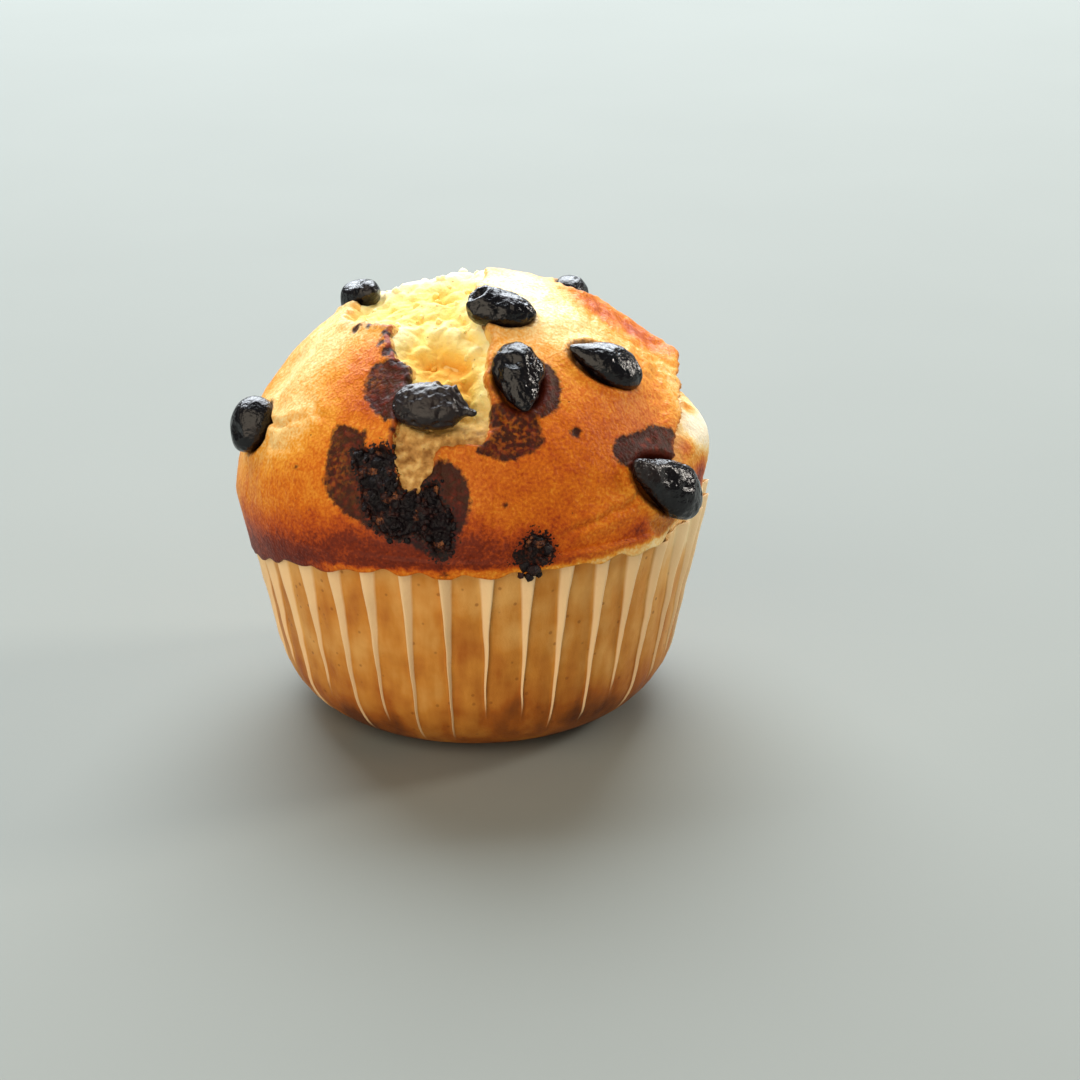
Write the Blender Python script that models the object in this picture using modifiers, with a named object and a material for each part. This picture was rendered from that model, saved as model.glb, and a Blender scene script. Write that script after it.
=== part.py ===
"""Chocolate chip muffin in a pleated paper case.

Metres, +Z up. The origin is the middle of the flat base, and -Y is the front.
The cake is one solid that fills the case and spills a little over its rim. Its top is a
dome with a torn, open crack and, on the right, a raised flap of crust. The case is a thin
pleated cup. Each chocolate chip is a solid of its own that sits in a socket in the cake.

Places on the dome are given by two angles: azimuth, 0 at the front and growing to the
right, and polar, 0 at the top and 90 degrees at the widest ring.
"""

import math

import bmesh
import bpy
import numpy as np
from mathutils import Matrix, Vector

MM = 0.001

# Paper case
CASE_HEIGHT = 32.5 * MM
RIM_RADIUS = 33.2 * MM  # of the panels between the pleats
FOOT_RADIUS = 27.4 * MM  # where the slanting wall would meet the table
FOOT_ROUND = 12.5 * MM  # radius of the rounded bottom edge
PAPER = 0.3 * MM
GAP = 0.3 * MM  # kept between two solids that touch
TINY = 0.001 * MM  # slack for telling one row of vertices from the next
PLEATS = 37
FIRST_PLEAT = math.radians(-6.1)  # azimuth of the pleat nearest the front
PLEAT_DEPTH = 1.1 * MM  # how far a pleat's crest stands out at the rim
PLEAT_SHARE = 0.32  # of the pitch that one pleat takes
PLEAT_START = 6.0 * MM  # height where the pleats begin

# Cake. The batter ran over the rim on the left, so the crust hangs lower there.
APEX_HEIGHT = 64.1 * MM
DOME_RADIUS = 34.5 * MM
DOME_LEAN = 0.4 * MM  # how much farther the dome reaches on the left than on average
DOME_POWER = 1.84  # of the dome's outline: 2 is an ellipse, and less is more pointed
WIDEST_HEIGHT = 34.6 * MM
EDGE_HEIGHT = 32.6 * MM  # of the crust's lower edge
SPILL_AZIMUTH = math.radians(-95)
SPILL_WIDTH = math.radians(48)
SPILL_EDGE = 8.5 * MM  # how much lower the edge is in the middle of the spill
SPILL_WIDEST = 1.8 * MM  # and how much lower the widest ring is
CAKE_STEPS = 72
DOME_ROWS = 15
CHIP_SEGMENTS, CHIP_RINGS = 12, 8

# The crack's centreline: azimuth, polar, half its width in mm
CRACK = (
    (-15, 72, 0.0),
    (-14, 61, 3.6),
    (-8, 50, 5.4),
    (-12, 36, 6.6),
    (-40, 20, 8.0),
    (-100, 17, 7.4),
    (-150, 26, 5.0),
    (-160, 40, 0.0),
)
CRACK_DEPTH = 3.4 * MM

# The free edge of the crust flap on the right: azimuth, polar, how far it stands up in mm
FLAP = (
    (54, 74, 0.0),
    (62, 68, 1.0),
    (78, 61, 1.4),
    (99, 58, 2.2),
    (103, 46, 1.4),
    (101, 33, 1.0),
    (100, 20, 0.0),
)
FLAP_REACH = 2.6 * MM  # half-width of the raised band
NOTCH_DEPTH = 1.5 * MM  # of the hollow under the flap's edge

# Chips: azimuth, polar, heading of the tip (0 right, 90 down), length, width, thickness
# and lift of the middle above the dome, in mm
CHIPS = (
    (21, 21.0, 25, 9.8, 7.6, 5.6, 0.7),
    (17, 42.5, 95, 10.8, 8.6, 6.2, 0.7),
    (-11, 49.0, -3, 11.8, 7.6, 5.8, 0.2),
    (53, 43.5, -133, 11.6, 8.4, 5.8, 0.6),
    (52.5, 77.5, -141, 15.2, 9.0, 6.2, 0.8),
    (-75, 66.8, 65, 8.2, 7.8, 7.2, 0.8),
    (-116, 33.5, -60, 8.2, 6.2, 6.0, 0.1),
    (118, 30.0, 40, 8.4, 6.0, 5.4, -0.3),
    (150, 55.0, 100, 10.2, 6.8, 5.6, 0.8),
    (-178, 51.0, -30, 9.8, 6.6, 5.6, 0.7),
    (-138, 64.0, 150, 10.8, 7.0, 5.8, 0.8),
    (138, 81.0, 15, 9.6, 6.6, 5.4, 0.7),
    (172, 79.0, -80, 9.4, 6.6, 5.4, 0.7),
)

CRUST = (0.62, 0.28, 0.07, 1.0)
PAPER_CREAM = (0.66, 0.42, 0.20, 1.0)
CHOCOLATE = (0.030, 0.018, 0.014, 1.0)


def clear_scene():
    for obj in list(bpy.data.objects):
        bpy.data.objects.remove(obj, do_unlink=True)


def new_collection(name):
    made = bpy.data.collections.new(name)
    bpy.context.scene.collection.children.link(made)
    return made


def material(name, colour, roughness):
    made = bpy.data.materials.new(name)
    made.use_nodes = True
    shader = made.node_tree.nodes["Principled BSDF"]
    shader.inputs["Base Color"].default_value = colour
    shader.inputs["Roughness"].default_value = roughness
    shader.inputs["Metallic"].default_value = 0.0
    return made


def add_object(name, mesh, collection, finish):
    made = bpy.data.objects.new(name, mesh)
    collection.objects.link(made)
    if not mesh.materials:
        mesh.materials.append(finish)
    return made


def turned(name, profile, steps, collection, finish):
    """The profile of (radius, height) pairs, top to bottom, turned about Z, as a mesh object."""
    mesh = bpy.data.meshes.new(name)
    points = [(radius, 0.0, height) for radius, height in profile]
    mesh.from_pydata(points, [(i, i + 1) for i in range(len(points) - 1)], [])
    guide = add_object(name + "_profile", mesh, collection, finish)
    screw = guide.modifiers.new("Turn", "SCREW")
    screw.steps = screw.render_steps = steps
    screw.use_merge_vertices = True
    screw.merge_threshold = 0.02 * MM
    graph = bpy.context.evaluated_depsgraph_get()
    solid = bpy.data.meshes.new_from_object(guide.evaluated_get(graph))
    bpy.data.objects.remove(guide, do_unlink=True)
    return add_object(name, solid, collection, finish)


def reshape(obj, shape):
    """Moves every vertex to where shape puts it; shape takes and returns an N x 3 array."""
    mesh = obj.data
    points = np.empty(len(mesh.vertices) * 3)
    mesh.vertices.foreach_get("co", points)
    mesh.vertices.foreach_set("co", shape(points.reshape(-1, 3)).ravel())
    mesh.update()


def azimuth_of(points):
    return np.arctan2(points[:, 0], -points[:, 1])


def placed(azimuth, radius, height):
    """Points from azimuth, radius and height."""
    return np.stack([radius * np.sin(azimuth), -radius * np.cos(azimuth), height], axis=1)


def between(low, high, value):
    """0 up to low, 1 from high, and a smooth step in between."""
    t = np.clip((value - low) / (high - low), 0.0, 1.0)
    return t * t * (3 - 2 * t)


# Heights and radii that the case and the cake share


def spilled(azimuth):
    """1 in the middle of the spill, fading to 0 away from it."""
    away = np.angle(np.exp(1j * (azimuth - SPILL_AZIMUTH)))
    return np.exp(-((away / SPILL_WIDTH) ** 2))


def edge_height(azimuth):
    """Height of the crust's lower edge."""
    return EDGE_HEIGHT - SPILL_EDGE * spilled(azimuth)


def widest_height(azimuth):
    """Height where the dome is widest."""
    return WIDEST_HEIGHT - SPILL_WIDEST * spilled(azimuth)


def dome_reach(azimuth):
    """Radius of the dome where it is widest."""
    return DOME_RADIUS - DOME_LEAN * np.sin(azimuth)


def wall_radius(height, inset=0.0):
    """Radius of the panels: a cone with a rounded foot, offset inwards by inset."""
    slant = math.atan2(RIM_RADIUS - FOOT_RADIUS, CASE_HEIGHT)
    centre = FOOT_RADIUS - FOOT_ROUND * (1 - math.sin(slant)) / math.cos(slant)
    cone = FOOT_RADIUS + height * math.tan(slant) - inset / math.cos(slant)
    rounding = FOOT_ROUND - inset
    across = np.clip(rounding**2 - (FOOT_ROUND - height) ** 2, 0.0, None)
    foot = centre + np.sqrt(across)
    return np.where(height < foot_top(), foot, cone)


def foot_top():
    """Height where the rounded foot runs into the slanting wall."""
    slant = math.atan2(RIM_RADIUS - FOOT_RADIUS, CASE_HEIGHT)
    return FOOT_ROUND * (1 - math.sin(slant))


def stretch(top, nominal_top):
    """How much taller or shorter the wall is than its turned profile, above the foot."""
    return (top - foot_top()) / (nominal_top - foot_top())


def flat_radius():
    """Radius of the flat of the base."""
    slant = math.atan2(RIM_RADIUS - FOOT_RADIUS, CASE_HEIGHT)
    return FOOT_RADIUS - FOOT_ROUND * (1 - math.sin(slant)) / math.cos(slant)


def pleat_depth(height):
    """How far the crests stand out: nothing at the foot, growing evenly to the rim."""
    return PLEAT_DEPTH * np.clip((height - PLEAT_START) / (CASE_HEIGHT - PLEAT_START), 0, 1)


def foot_profile(inset, points=3):
    """(radius, height) down the rounded foot to the flat, offset inwards by inset."""
    heights = [foot_top() * (1 - math.sin(math.pi / 2 * i / points)) for i in range(points)]
    heights = [max(height, inset) for height in heights]
    return [(float(wall_radius(np.array(h), inset)), h) for h in heights[1:]] + [
        (flat_radius(), inset)
    ]


# The cake's dome


def dome_point(azimuth, polar):
    """The smooth dome, before the crack and the flap."""
    across, up = np.abs(np.sin(polar)), np.abs(np.cos(polar))
    rise = APEX_HEIGHT - widest_height(azimuth)
    radius = dome_reach(azimuth) * across ** (2 / DOME_POWER)
    height = widest_height(azimuth) + rise * up ** (2 / DOME_POWER)
    return placed(azimuth, radius, height)


def dome_normal(points):
    """Outward normal of the dome at points that lie on it."""
    azimuth = azimuth_of(points)
    rise = APEX_HEIGHT - widest_height(azimuth)
    outward = np.hypot(points[:, 0], points[:, 1]) / dome_reach(azimuth)
    upward = np.clip((points[:, 2] - widest_height(azimuth)) / rise, 0.0, None)
    normal = placed(
        azimuth,
        outward ** (DOME_POWER - 1) / dome_reach(azimuth),
        upward ** (DOME_POWER - 1) / rise,
    )
    return normal / np.linalg.norm(normal, axis=1, keepdims=True)


def along_line(points, line):
    """For each point: its distance from the line, the line's value there, and its side.

    The line is a chain of (azimuth, polar, value); side is above 0 on its right-hand side,
    seen from outside and looking along it.
    """
    table = np.array(line, float)
    nodes = dome_point(np.radians(table[:, 0]), np.radians(table[:, 1]))
    best = np.full(len(points), np.inf)
    value, side = np.zeros(len(points)), np.ones(len(points))
    for i in range(len(nodes) - 1):
        step = nodes[i + 1] - nodes[i]
        t = np.clip((points - nodes[i]) @ step / (step @ step), 0, 1)
        away = points - nodes[i] - t[:, None] * step
        distance = np.linalg.norm(away, axis=1)
        across = np.cross(step, dome_normal(points))
        nearer = distance < best
        best = np.where(nearer, distance, best)
        here = table[i, 2] + t * (table[i + 1, 2] - table[i, 2])
        value = np.where(nearer, here, value)
        side = np.where(nearer, np.sign((away * across).sum(axis=1)), side)
    return best, value, side


def relief(points):
    """Height of the torn top above the smooth dome: the crack, the flap and its notch."""
    distance, half_width, _ = along_line(points, CRACK)
    width = np.maximum(half_width, 2.0) * MM
    depth = CRACK_DEPTH * np.clip(half_width / 5.0, 0.0, 1.0)
    crack = -depth * (1 - between(0.3, 1.3, distance / width))
    distance, stand, side = along_line(points, FLAP)
    outside = side * distance
    flap = stand * MM * np.exp(-(((outside + 1.8 * MM) / FLAP_REACH) ** 2))
    lifted = between(0.0, 1.0, stand)
    notch = -NOTCH_DEPTH * lifted * np.exp(-(((outside - 3.0 * MM) / FLAP_REACH) ** 2))
    return crack + flap + notch


def cake_shape(points):
    """From the plain turned outline to the torn dome, the spilled edge and the filled case."""
    azimuth = azimuth_of(points)
    radius = np.hypot(points[:, 0], points[:, 1])
    height = points[:, 2]
    edge, widest = edge_height(azimuth), widest_height(azimuth)

    # Crust below the widest ring curls in to the edge.
    fall = np.clip((WIDEST_HEIGHT - height) / (WIDEST_HEIGHT - EDGE_HEIGHT), 0.0, 1.0)
    edge_radius = wall_radius(edge) + pleat_depth(edge) + 0.5 * GAP
    curl_radius = dome_reach(azimuth) - (dome_reach(azimuth) - edge_radius) * fall**2.5
    curl = placed(azimuth, curl_radius, widest - fall * (widest - edge))

    # What fills the case stays inside its wall; below that it rests in the foot.
    upright = foot_top() + (height - foot_top()) * stretch(edge, EDGE_HEIGHT)
    filling = placed(azimuth, wall_radius(upright, PAPER + GAP), upright)

    polar = np.arcsin(np.clip(radius / DOME_RADIUS, 0.0, 1.0) ** (DOME_POWER / 2))
    dome = dome_point(azimuth, polar)
    torn = dome + dome_normal(dome) * relief(dome)[:, None]

    in_case = (radius < wall_radius(EDGE_HEIGHT)) & (height < EDGE_HEIGHT + TINY)
    in_foot = in_case & (height < foot_top() + TINY)
    on_dome = height > WIDEST_HEIGHT - TINY
    rows = [in_foot, in_case, on_dome]
    return np.select([row[:, None] for row in rows], [points, filling, torn], curl)


def cake_profile():
    """Apex, dome, curl of the crust, then inside the case down to the base."""
    inset = PAPER + GAP
    dome = []
    for i in range(DOME_ROWS + 1):
        polar = math.pi / 2 * i / DOME_ROWS
        radius = DOME_RADIUS * math.sin(polar) ** (2 / DOME_POWER)
        dome.append((radius, WIDEST_HEIGHT + (DOME_ROWS - i) * MM))
    drop = WIDEST_HEIGHT - EDGE_HEIGHT
    curl = [(DOME_RADIUS, WIDEST_HEIGHT - drop * share) for share in (0.4, 0.7, 0.9, 1.0)]
    rows = 2
    heights = [EDGE_HEIGHT + (foot_top() - EDGE_HEIGHT) * i / rows for i in range(rows)]
    wall = [(float(wall_radius(np.array(h), inset)), h) for h in heights]
    return dome + curl + wall + foot_profile(inset) + [(0.0, inset)]


def make_cake(collection, finish):
    cake = turned("cake", cake_profile(), CAKE_STEPS, collection, finish)
    reshape(cake, cake_shape)
    return cake


# The paper case


def case_shape(points):
    """Trims the turned cup to the crust's edge and folds its pleats."""
    azimuth = azimuth_of(points)
    height = points[:, 2]
    on_wall = height > foot_top() + TINY
    raised = (height - foot_top()) * stretch(edge_height(azimuth) - GAP, CASE_HEIGHT)
    height = np.where(on_wall, foot_top() + raised, height)
    turn = (azimuth - FIRST_PLEAT) / (2 * math.pi) * PLEATS
    from_crest = np.abs(turn - np.round(turn)) / (PLEAT_SHARE / 2)
    fold = pleat_depth(height) * np.clip(1 - from_crest, 0, 1)
    radius = np.where(on_wall, wall_radius(height), np.hypot(points[:, 0], points[:, 1]))
    return placed(azimuth, radius + fold, height)


def case_azimuths():
    """The turning angles of one pleat after another: foot, crest and foot."""
    pitch = 2 * math.pi / PLEATS
    half = pitch * PLEAT_SHARE / 2
    crests = [FIRST_PLEAT + i * pitch for i in range(PLEATS)]
    return [crest + side * half for crest in crests for side in (-1, 0, 1)]


def spread_to_pleats(points):
    """Turns the evenly spaced columns of the cup to the pleats' feet and crests."""
    azimuth = azimuth_of(points)
    columns = 3 * PLEATS
    index = np.round(azimuth / (2 * math.pi) * columns).astype(int) + 1
    wanted = np.array(case_azimuths())[index % columns]
    radius = np.hypot(points[:, 0], points[:, 1])
    return placed(wanted, radius, points[:, 2])


def make_case(collection, finish):
    wall_rows = 3
    heights = [
        CASE_HEIGHT + (foot_top() - CASE_HEIGHT) * i / wall_rows for i in range(wall_rows + 1)
    ]
    wall = [(float(wall_radius(np.array(h))), h) for h in heights]
    profile = wall + foot_profile(0.0) + [(0.0, 0.0)]
    case = turned("paper_case", profile, 3 * PLEATS, collection, finish)
    reshape(case, spread_to_pleats)
    reshape(case, case_shape)
    thickness = case.modifiers.new("Paper", "SOLIDIFY")
    thickness.thickness = PAPER
    thickness.offset = -1.0
    return case


# The chocolate chips


def chip_mesh(name, length, width, thickness, grow=0.0):
    """A drop on its side: a ball, stretched along X and narrowing to a tip at +X."""
    shape = bmesh.new()
    bmesh.ops.create_uvsphere(
        shape, u_segments=CHIP_SEGMENTS, v_segments=CHIP_RINGS, radius=1.0
    )
    bmesh.ops.rotate(shape, verts=shape.verts, matrix=Matrix.Rotation(math.pi / 2, 3, "Y"))
    for vertex in shape.verts:
        along = vertex.co.x
        narrow = 1.0 - 0.52 * max(0.0, (along + 0.35) / 1.35) ** 1.4
        vertex.co = (
            along * (length / 2 + grow),
            vertex.co.y * narrow * (width / 2) + math.copysign(grow, vertex.co.y),
            vertex.co.z * narrow * (thickness / 2) + math.copysign(grow, vertex.co.z),
        )
    mesh = bpy.data.meshes.new(name)
    shape.to_mesh(mesh)
    shape.free()
    mesh.shade_smooth()
    return mesh


def chip_matrix(azimuth, polar, heading, lift):
    """Sets a chip down on the dome: X towards its tip, Z straight out of the crust."""
    azimuth, polar, heading = (math.radians(angle) for angle in (azimuth, polar, heading))
    spot = dome_point(np.array([azimuth]), np.array([polar]))
    out = Vector(dome_normal(spot)[0])
    right = Vector((math.cos(azimuth), math.sin(azimuth), 0.0))
    down = right.cross(out)
    if down.z > 0 or (abs(down.z) < 1e-9 and polar > 0):
        down.negate()
    tip = math.cos(heading) * right + math.sin(heading) * down
    side = out.cross(tip)
    turn = Matrix((tip, side, out)).transposed().to_4x4()
    return Matrix.Translation(Vector(spot[0]) + out * lift) @ turn


def make_chips(collection, cutters, finish):
    """The chips, and for each a slightly larger copy that cuts its socket."""
    for number, chip in enumerate(CHIPS, start=1):
        azimuth, polar, heading, length, width, thickness, lift = chip
        place = chip_matrix(azimuth, polar, heading, lift * MM)
        size = (length * MM, width * MM, thickness * MM)
        for name, grow, group in (
            (f"chip_{number:02d}", 0.0, collection),
            (f"socket_{number:02d}", GAP, cutters),
        ):
            made = add_object(name, chip_mesh(name, *size, grow=grow), group, finish)
            made.matrix_world = place
            if group is cutters:
                made.hide_render = True
                made.display_type = "WIRE"


def cut_sockets(cake, cutters):
    cut = cake.modifiers.new("Sockets", "BOOLEAN")
    cut.operation = "DIFFERENCE"
    cut.operand_type = "COLLECTION"
    cut.collection = cutters
    cut.solver = "EXACT"


def main():
    clear_scene()
    muffin = new_collection("muffin")
    cutters = new_collection("cutters")
    crust = material("crust", CRUST, 0.6)
    paper = material("paper", PAPER_CREAM, 0.55)
    chocolate = material("chocolate", CHOCOLATE, 0.3)
    cake = make_cake(muffin, crust)
    make_case(muffin, paper)
    make_chips(muffin, cutters, chocolate)
    cut_sockets(cake, cutters)


main()
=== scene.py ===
# %% [markdown]
# # A chocolate chip muffin in a pleated paper case
#
# A muffin is batter that rose until its skin tore. The skin is the brown crust. Through
# the tear the pale crumb shows, chips melt into the crust, and the paper case soaks up
# butter from the cake behind it. We build each of those as its own surface, from
# formulas, around a plain solid model that gives the sizes.

# %% Load the solid model
import itertools

import bpy
import numpy as np
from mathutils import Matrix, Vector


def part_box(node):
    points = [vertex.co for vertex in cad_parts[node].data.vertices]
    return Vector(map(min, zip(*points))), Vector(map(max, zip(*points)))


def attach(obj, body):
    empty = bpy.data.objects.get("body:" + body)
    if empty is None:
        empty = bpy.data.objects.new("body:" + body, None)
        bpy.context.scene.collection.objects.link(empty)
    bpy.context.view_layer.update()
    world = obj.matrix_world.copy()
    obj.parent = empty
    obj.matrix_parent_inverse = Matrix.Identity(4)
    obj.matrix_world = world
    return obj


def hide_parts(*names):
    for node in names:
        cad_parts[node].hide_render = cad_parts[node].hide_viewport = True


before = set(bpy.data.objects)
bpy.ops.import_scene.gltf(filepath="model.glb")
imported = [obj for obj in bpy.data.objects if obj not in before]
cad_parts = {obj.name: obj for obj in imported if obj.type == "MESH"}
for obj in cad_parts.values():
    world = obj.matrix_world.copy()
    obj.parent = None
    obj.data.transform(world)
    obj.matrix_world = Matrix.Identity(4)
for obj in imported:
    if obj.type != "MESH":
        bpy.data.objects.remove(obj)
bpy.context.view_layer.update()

# %% [markdown]
# ## The camera
#
# We look slightly down at the muffin, from far enough away that the dome doesn't bulge
# towards us. A long lens keeps it large in the picture. The camera is aimed a little to
# the right of the muffin and below its middle.

# %% Set up the camera
MM = 0.001
TILT = np.radians(22)
DISTANCE = 0.440


def add_camera(tilt, distance, lens, right, up, height):
    """A camera that looks down by tilt. It aims at a point on the middle axis at height,
    shifted sideways by right and along the picture's own upward direction by up, and it
    stands back from that point by distance."""
    camera = bpy.data.objects.new("camera", bpy.data.cameras.new("camera"))
    bpy.context.scene.collection.objects.link(camera)
    camera.data.lens = lens
    rise, level = np.sin(tilt), np.cos(tilt)
    aim = np.array([right, up * rise, height + up * level])
    camera.location = aim + distance * np.array([0.0, -level, rise])
    camera.rotation_euler = (np.pi / 2 - tilt, 0.0, 0.0)
    bpy.context.scene.camera = camera
    return camera


camera = add_camera(TILT, DISTANCE, 100.0, 0.0094, -0.0059, 0.030)
print("camera at", [round(v, 3) for v in camera.location])

# %% [markdown]
# ## The sizes that all pieces share
#
# The cake's dome is a superellipse turned around the middle, a touch more pointed than
# an ellipse. The batter ran over the rim on the left, so there the crust hangs lower.
# Any place on the dome is given by two angles: azimuth, 0 at the front and growing to
# the right, and polar, 0 at the top and 90 degrees at the widest ring. All lengths here
# are in millimetres, and become metres when a mesh is made.

# %% The dome and the wall
APEX, REACH, LEAN, POWER = 64.1, 34.5, 0.4, 1.84
WIDEST, EDGE = 34.6, 32.6
SPILL_AT, SPILL_WIDTH = np.radians(-95), np.radians(48)
SPILL_EDGE, SPILL_WIDEST = 8.5, 1.8
RIM, FOOT, FOOT_ROUND, CASE_HEIGHT = 33.2, 27.4, 12.5, 32.5
SLANT = np.arctan2(RIM - FOOT, CASE_HEIGHT)
FOOT_TOP = FOOT_ROUND * (1 - np.sin(SLANT))
FLAT = FOOT - FOOT_ROUND * (1 - np.sin(SLANT)) / np.cos(SLANT)


def spilled(azimuth):
    """A bell curve of azimuth: 1 in the middle of the spill, fading to 0."""
    away = np.angle(np.exp(1j * (azimuth - SPILL_AT)))
    return np.exp(-((away / SPILL_WIDTH) ** 2))


def edge_height(azimuth):
    """Height of the crust's lower edge: level, less the spill's bell curve."""
    return EDGE - SPILL_EDGE * spilled(azimuth)


def widest_height(azimuth):
    """Height of the widest ring: level, less a share of the spill."""
    return WIDEST - SPILL_WIDEST * spilled(azimuth)


def placed(azimuth, radius, height):
    """Points x, y, z from azimuth, radius and height."""
    azimuth, radius, height = np.broadcast_arrays(azimuth, radius, height)
    return np.stack([radius * np.sin(azimuth), -radius * np.cos(azimuth), height], axis=-1)


def dome_point(azimuth, polar):
    """On the dome: radius grows as sine, and height as cosine, of the polar angle, both
    to the power 2 over POWER."""
    rise = APEX - widest_height(azimuth)
    across = np.abs(np.sin(polar)) ** (2 / POWER)
    up = np.abs(np.cos(polar)) ** (2 / POWER)
    reach = REACH - LEAN * np.sin(azimuth)
    return placed(azimuth, reach * across, widest_height(azimuth) + rise * up)


def dome_normal(points):
    """Straight out of the dome: the slope of the superellipse's own equation."""
    azimuth = np.arctan2(points[..., 0], -points[..., 1])
    rise, reach = APEX - widest_height(azimuth), REACH - LEAN * np.sin(azimuth)
    outward = np.hypot(points[..., 0], points[..., 1]) / reach
    upward = np.clip((points[..., 2] - widest_height(azimuth)) / rise, 0, None)
    normal = placed(azimuth, outward ** (POWER - 1) / reach, upward ** (POWER - 1) / rise)
    return normal / np.linalg.norm(normal, axis=-1, keepdims=True)


def wall_radius(height, inset=0.0):
    """Radius of the case's panels: a cone that runs into a rounded foot, moved inwards
    by inset."""
    cone = FOOT + height * np.tan(SLANT) - inset / np.cos(SLANT)
    arc = np.clip((FOOT_ROUND - inset) ** 2 - (FOOT_ROUND - height) ** 2, 0, None)
    return np.where(height < FOOT_TOP, FLAT + np.sqrt(arc), cone)


def pleat_depth(height):
    """How far a pleat stands out: nothing 6 mm up, 1.1 mm at the rim."""
    return 1.1 * np.clip((height - 6) / (CASE_HEIGHT - 6), 0, 1)


def step(low, high, value):
    """0 up to low, 1 from high, and a smooth S curve between them."""
    t = np.clip((value - low) / (high - low), 0, 1)
    return t * t * (3 - 2 * t)


low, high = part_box("cake")
print("dome 34.5 mm wide at 34.6 mm; the solid cake reaches", round(high.x * 1000, 1), "mm to the right")

# %% [markdown]
# ## Random texture, made by hand
#
# Nothing baked is smooth. Two kinds of randomness give almost every texture here. Soft
# noise is a random number at each corner of a grid, blended smoothly in between: it
# gives lumps and ripples. Cells are random points, and each place measures how far the
# nearest one is: that gives crumbs, bubbles and pits. Both work on whole arrays of
# points at once, and both give the same result every time.

# %% Soft noise and cells
def scatter(cell, seed):
    """A repeatable random number from 0 to 1 for each grid cell: its three whole-number
    indices are multiplied by large odd numbers, added and mixed."""
    mixed = cell[..., 0] * 374761393 + cell[..., 1] * 668265263 + cell[..., 2] * 1440662683
    mixed = (mixed + seed * 974634777) & 0xFFFFFFFF
    mixed = ((mixed ^ (mixed >> 13)) * 1274126177) & 0xFFFFFFFF
    return ((mixed ^ (mixed >> 16)) & 0xFFFFFF) / 0xFFFFFF


TURN = np.array([[0.36, 0.48, -0.80], [-0.80, 0.60, 0.0], [0.48, 0.64, 0.60]])


def noise(points, size, seed=0):
    """Soft noise from -1 to 1 with lumps of the given size: the numbers at the eight
    corners of each cell, weighted by a smooth curve of the place inside it."""
    at = points @ TURN / size
    cell = np.floor(at).astype(np.int64)
    part = at - cell
    part = part**3 * (part * (part * 6 - 15) + 10)
    total = np.zeros(points.shape[:-1])
    for corner in itertools.product((0, 1), repeat=3):
        weight = np.prod(np.where(corner, part, 1 - part), axis=-1)
        total += weight * scatter(cell + np.array(corner), seed)
    return total * 2 - 1


def rough(points, size, octaves=3, seed=0):
    """Soft noise at several sizes, each half the size and half the strength of the last."""
    layers = [noise(points, size / 2**i, seed + i) / 2**i for i in range(octaves)]
    return sum(layers) / 1.5


def cells(points, size, seed=0):
    """For each point, the distances to the nearest and the second nearest of the random
    points, one per cell of the given size, and a random number that the nearest holds."""
    at = points @ TURN / size
    home = np.floor(at).astype(np.int64)
    near = np.full(at.shape[:-1], 9.0)
    second, owner = near.copy(), near * 0
    for shift in itertools.product((-1, 0, 1), repeat=3):
        cell = home + np.array(shift)
        spot = cell + np.stack([scatter(cell, seed + k) for k in (11, 12, 13)], axis=-1)
        away = np.linalg.norm(at - spot, axis=-1)
        closer = away < near
        second = np.where(closer, near, np.minimum(second, away))
        owner = np.where(closer, scatter(cell, seed + 14), owner)
        near = np.where(closer, away, near)
    return near, second, owner


sample = noise(np.random.default_rng(1).uniform(0, 50, (5000, 3)), 3.0)
print("soft noise runs from", sample.min().round(2), "to", sample.max().round(2))

# %% [markdown]
# ## A flat map of the dome
#
# The tear, the stains and the creases are drawn on the dome as outlines. Distances on a
# curved surface are awkward, so we use a map like those of the Earth's poles: it
# stretches sizes, but keeps every small shape true. On the map an outline is a plain
# polygon, and a distance on the map divided by the local stretch is a distance on the
# crust.

# %% The map
POLARS = np.radians(np.linspace(0.05, 90, 1800))
PROFILE = dome_point(np.zeros(1800), POLARS)
ALONG = np.linalg.norm(np.diff(PROFILE, axis=0), axis=1)
OUT = np.hypot(PROFILE[:, 0], PROFILE[:, 1])
MAP_RADIUS = OUT[0] * np.exp(np.concatenate([[0], np.cumsum(2 * ALONG / (OUT[1:] + OUT[:-1]))]))


def to_map(azimuth, polar):
    """Map position and stretch of a place on the dome. The map's radius grows so that it
    stretches a step down the dome as much as a step around it."""
    radius = np.interp(polar, POLARS, MAP_RADIUS)
    beyond = np.clip(polar - POLARS[-1], 0, None)
    radius = radius * (1 + beyond * 1.2)
    stretch = radius / np.maximum(np.interp(polar, POLARS, OUT), OUT[0])
    return np.stack([radius * np.sin(azimuth), -radius * np.cos(azimuth)], -1), stretch


def from_map(spot):
    """Azimuth and polar angle of a map position."""
    radius = np.hypot(spot[..., 0], spot[..., 1])
    return np.arctan2(spot[..., 0], -spot[..., 1]), np.interp(radius, MAP_RADIUS, POLARS)


def rounded(outline, parts=4):
    """Map corners of an outline of azimuth and polar in degrees, with a smooth curve
    through them: a Catmull-Rom spline, whose tangent at a corner runs parallel to the
    line between its neighbours."""
    angles = np.radians(np.array(outline, float))
    p = to_map(angles[:, 0], angles[:, 1])[0]
    before, after, later = np.roll(p, 1, 0), np.roll(p, -1, 0), np.roll(p, -2, 0)
    curves = []
    for t in np.arange(parts) / parts:
        bend = 2 * before - 5 * p + 4 * after - later
        curves.append(p + 0.5 * t * ((after - before) + t * (bend + t * (3 * (p - after) + later - before))))
    return np.stack(curves, axis=1).reshape(-1, 2)


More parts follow.
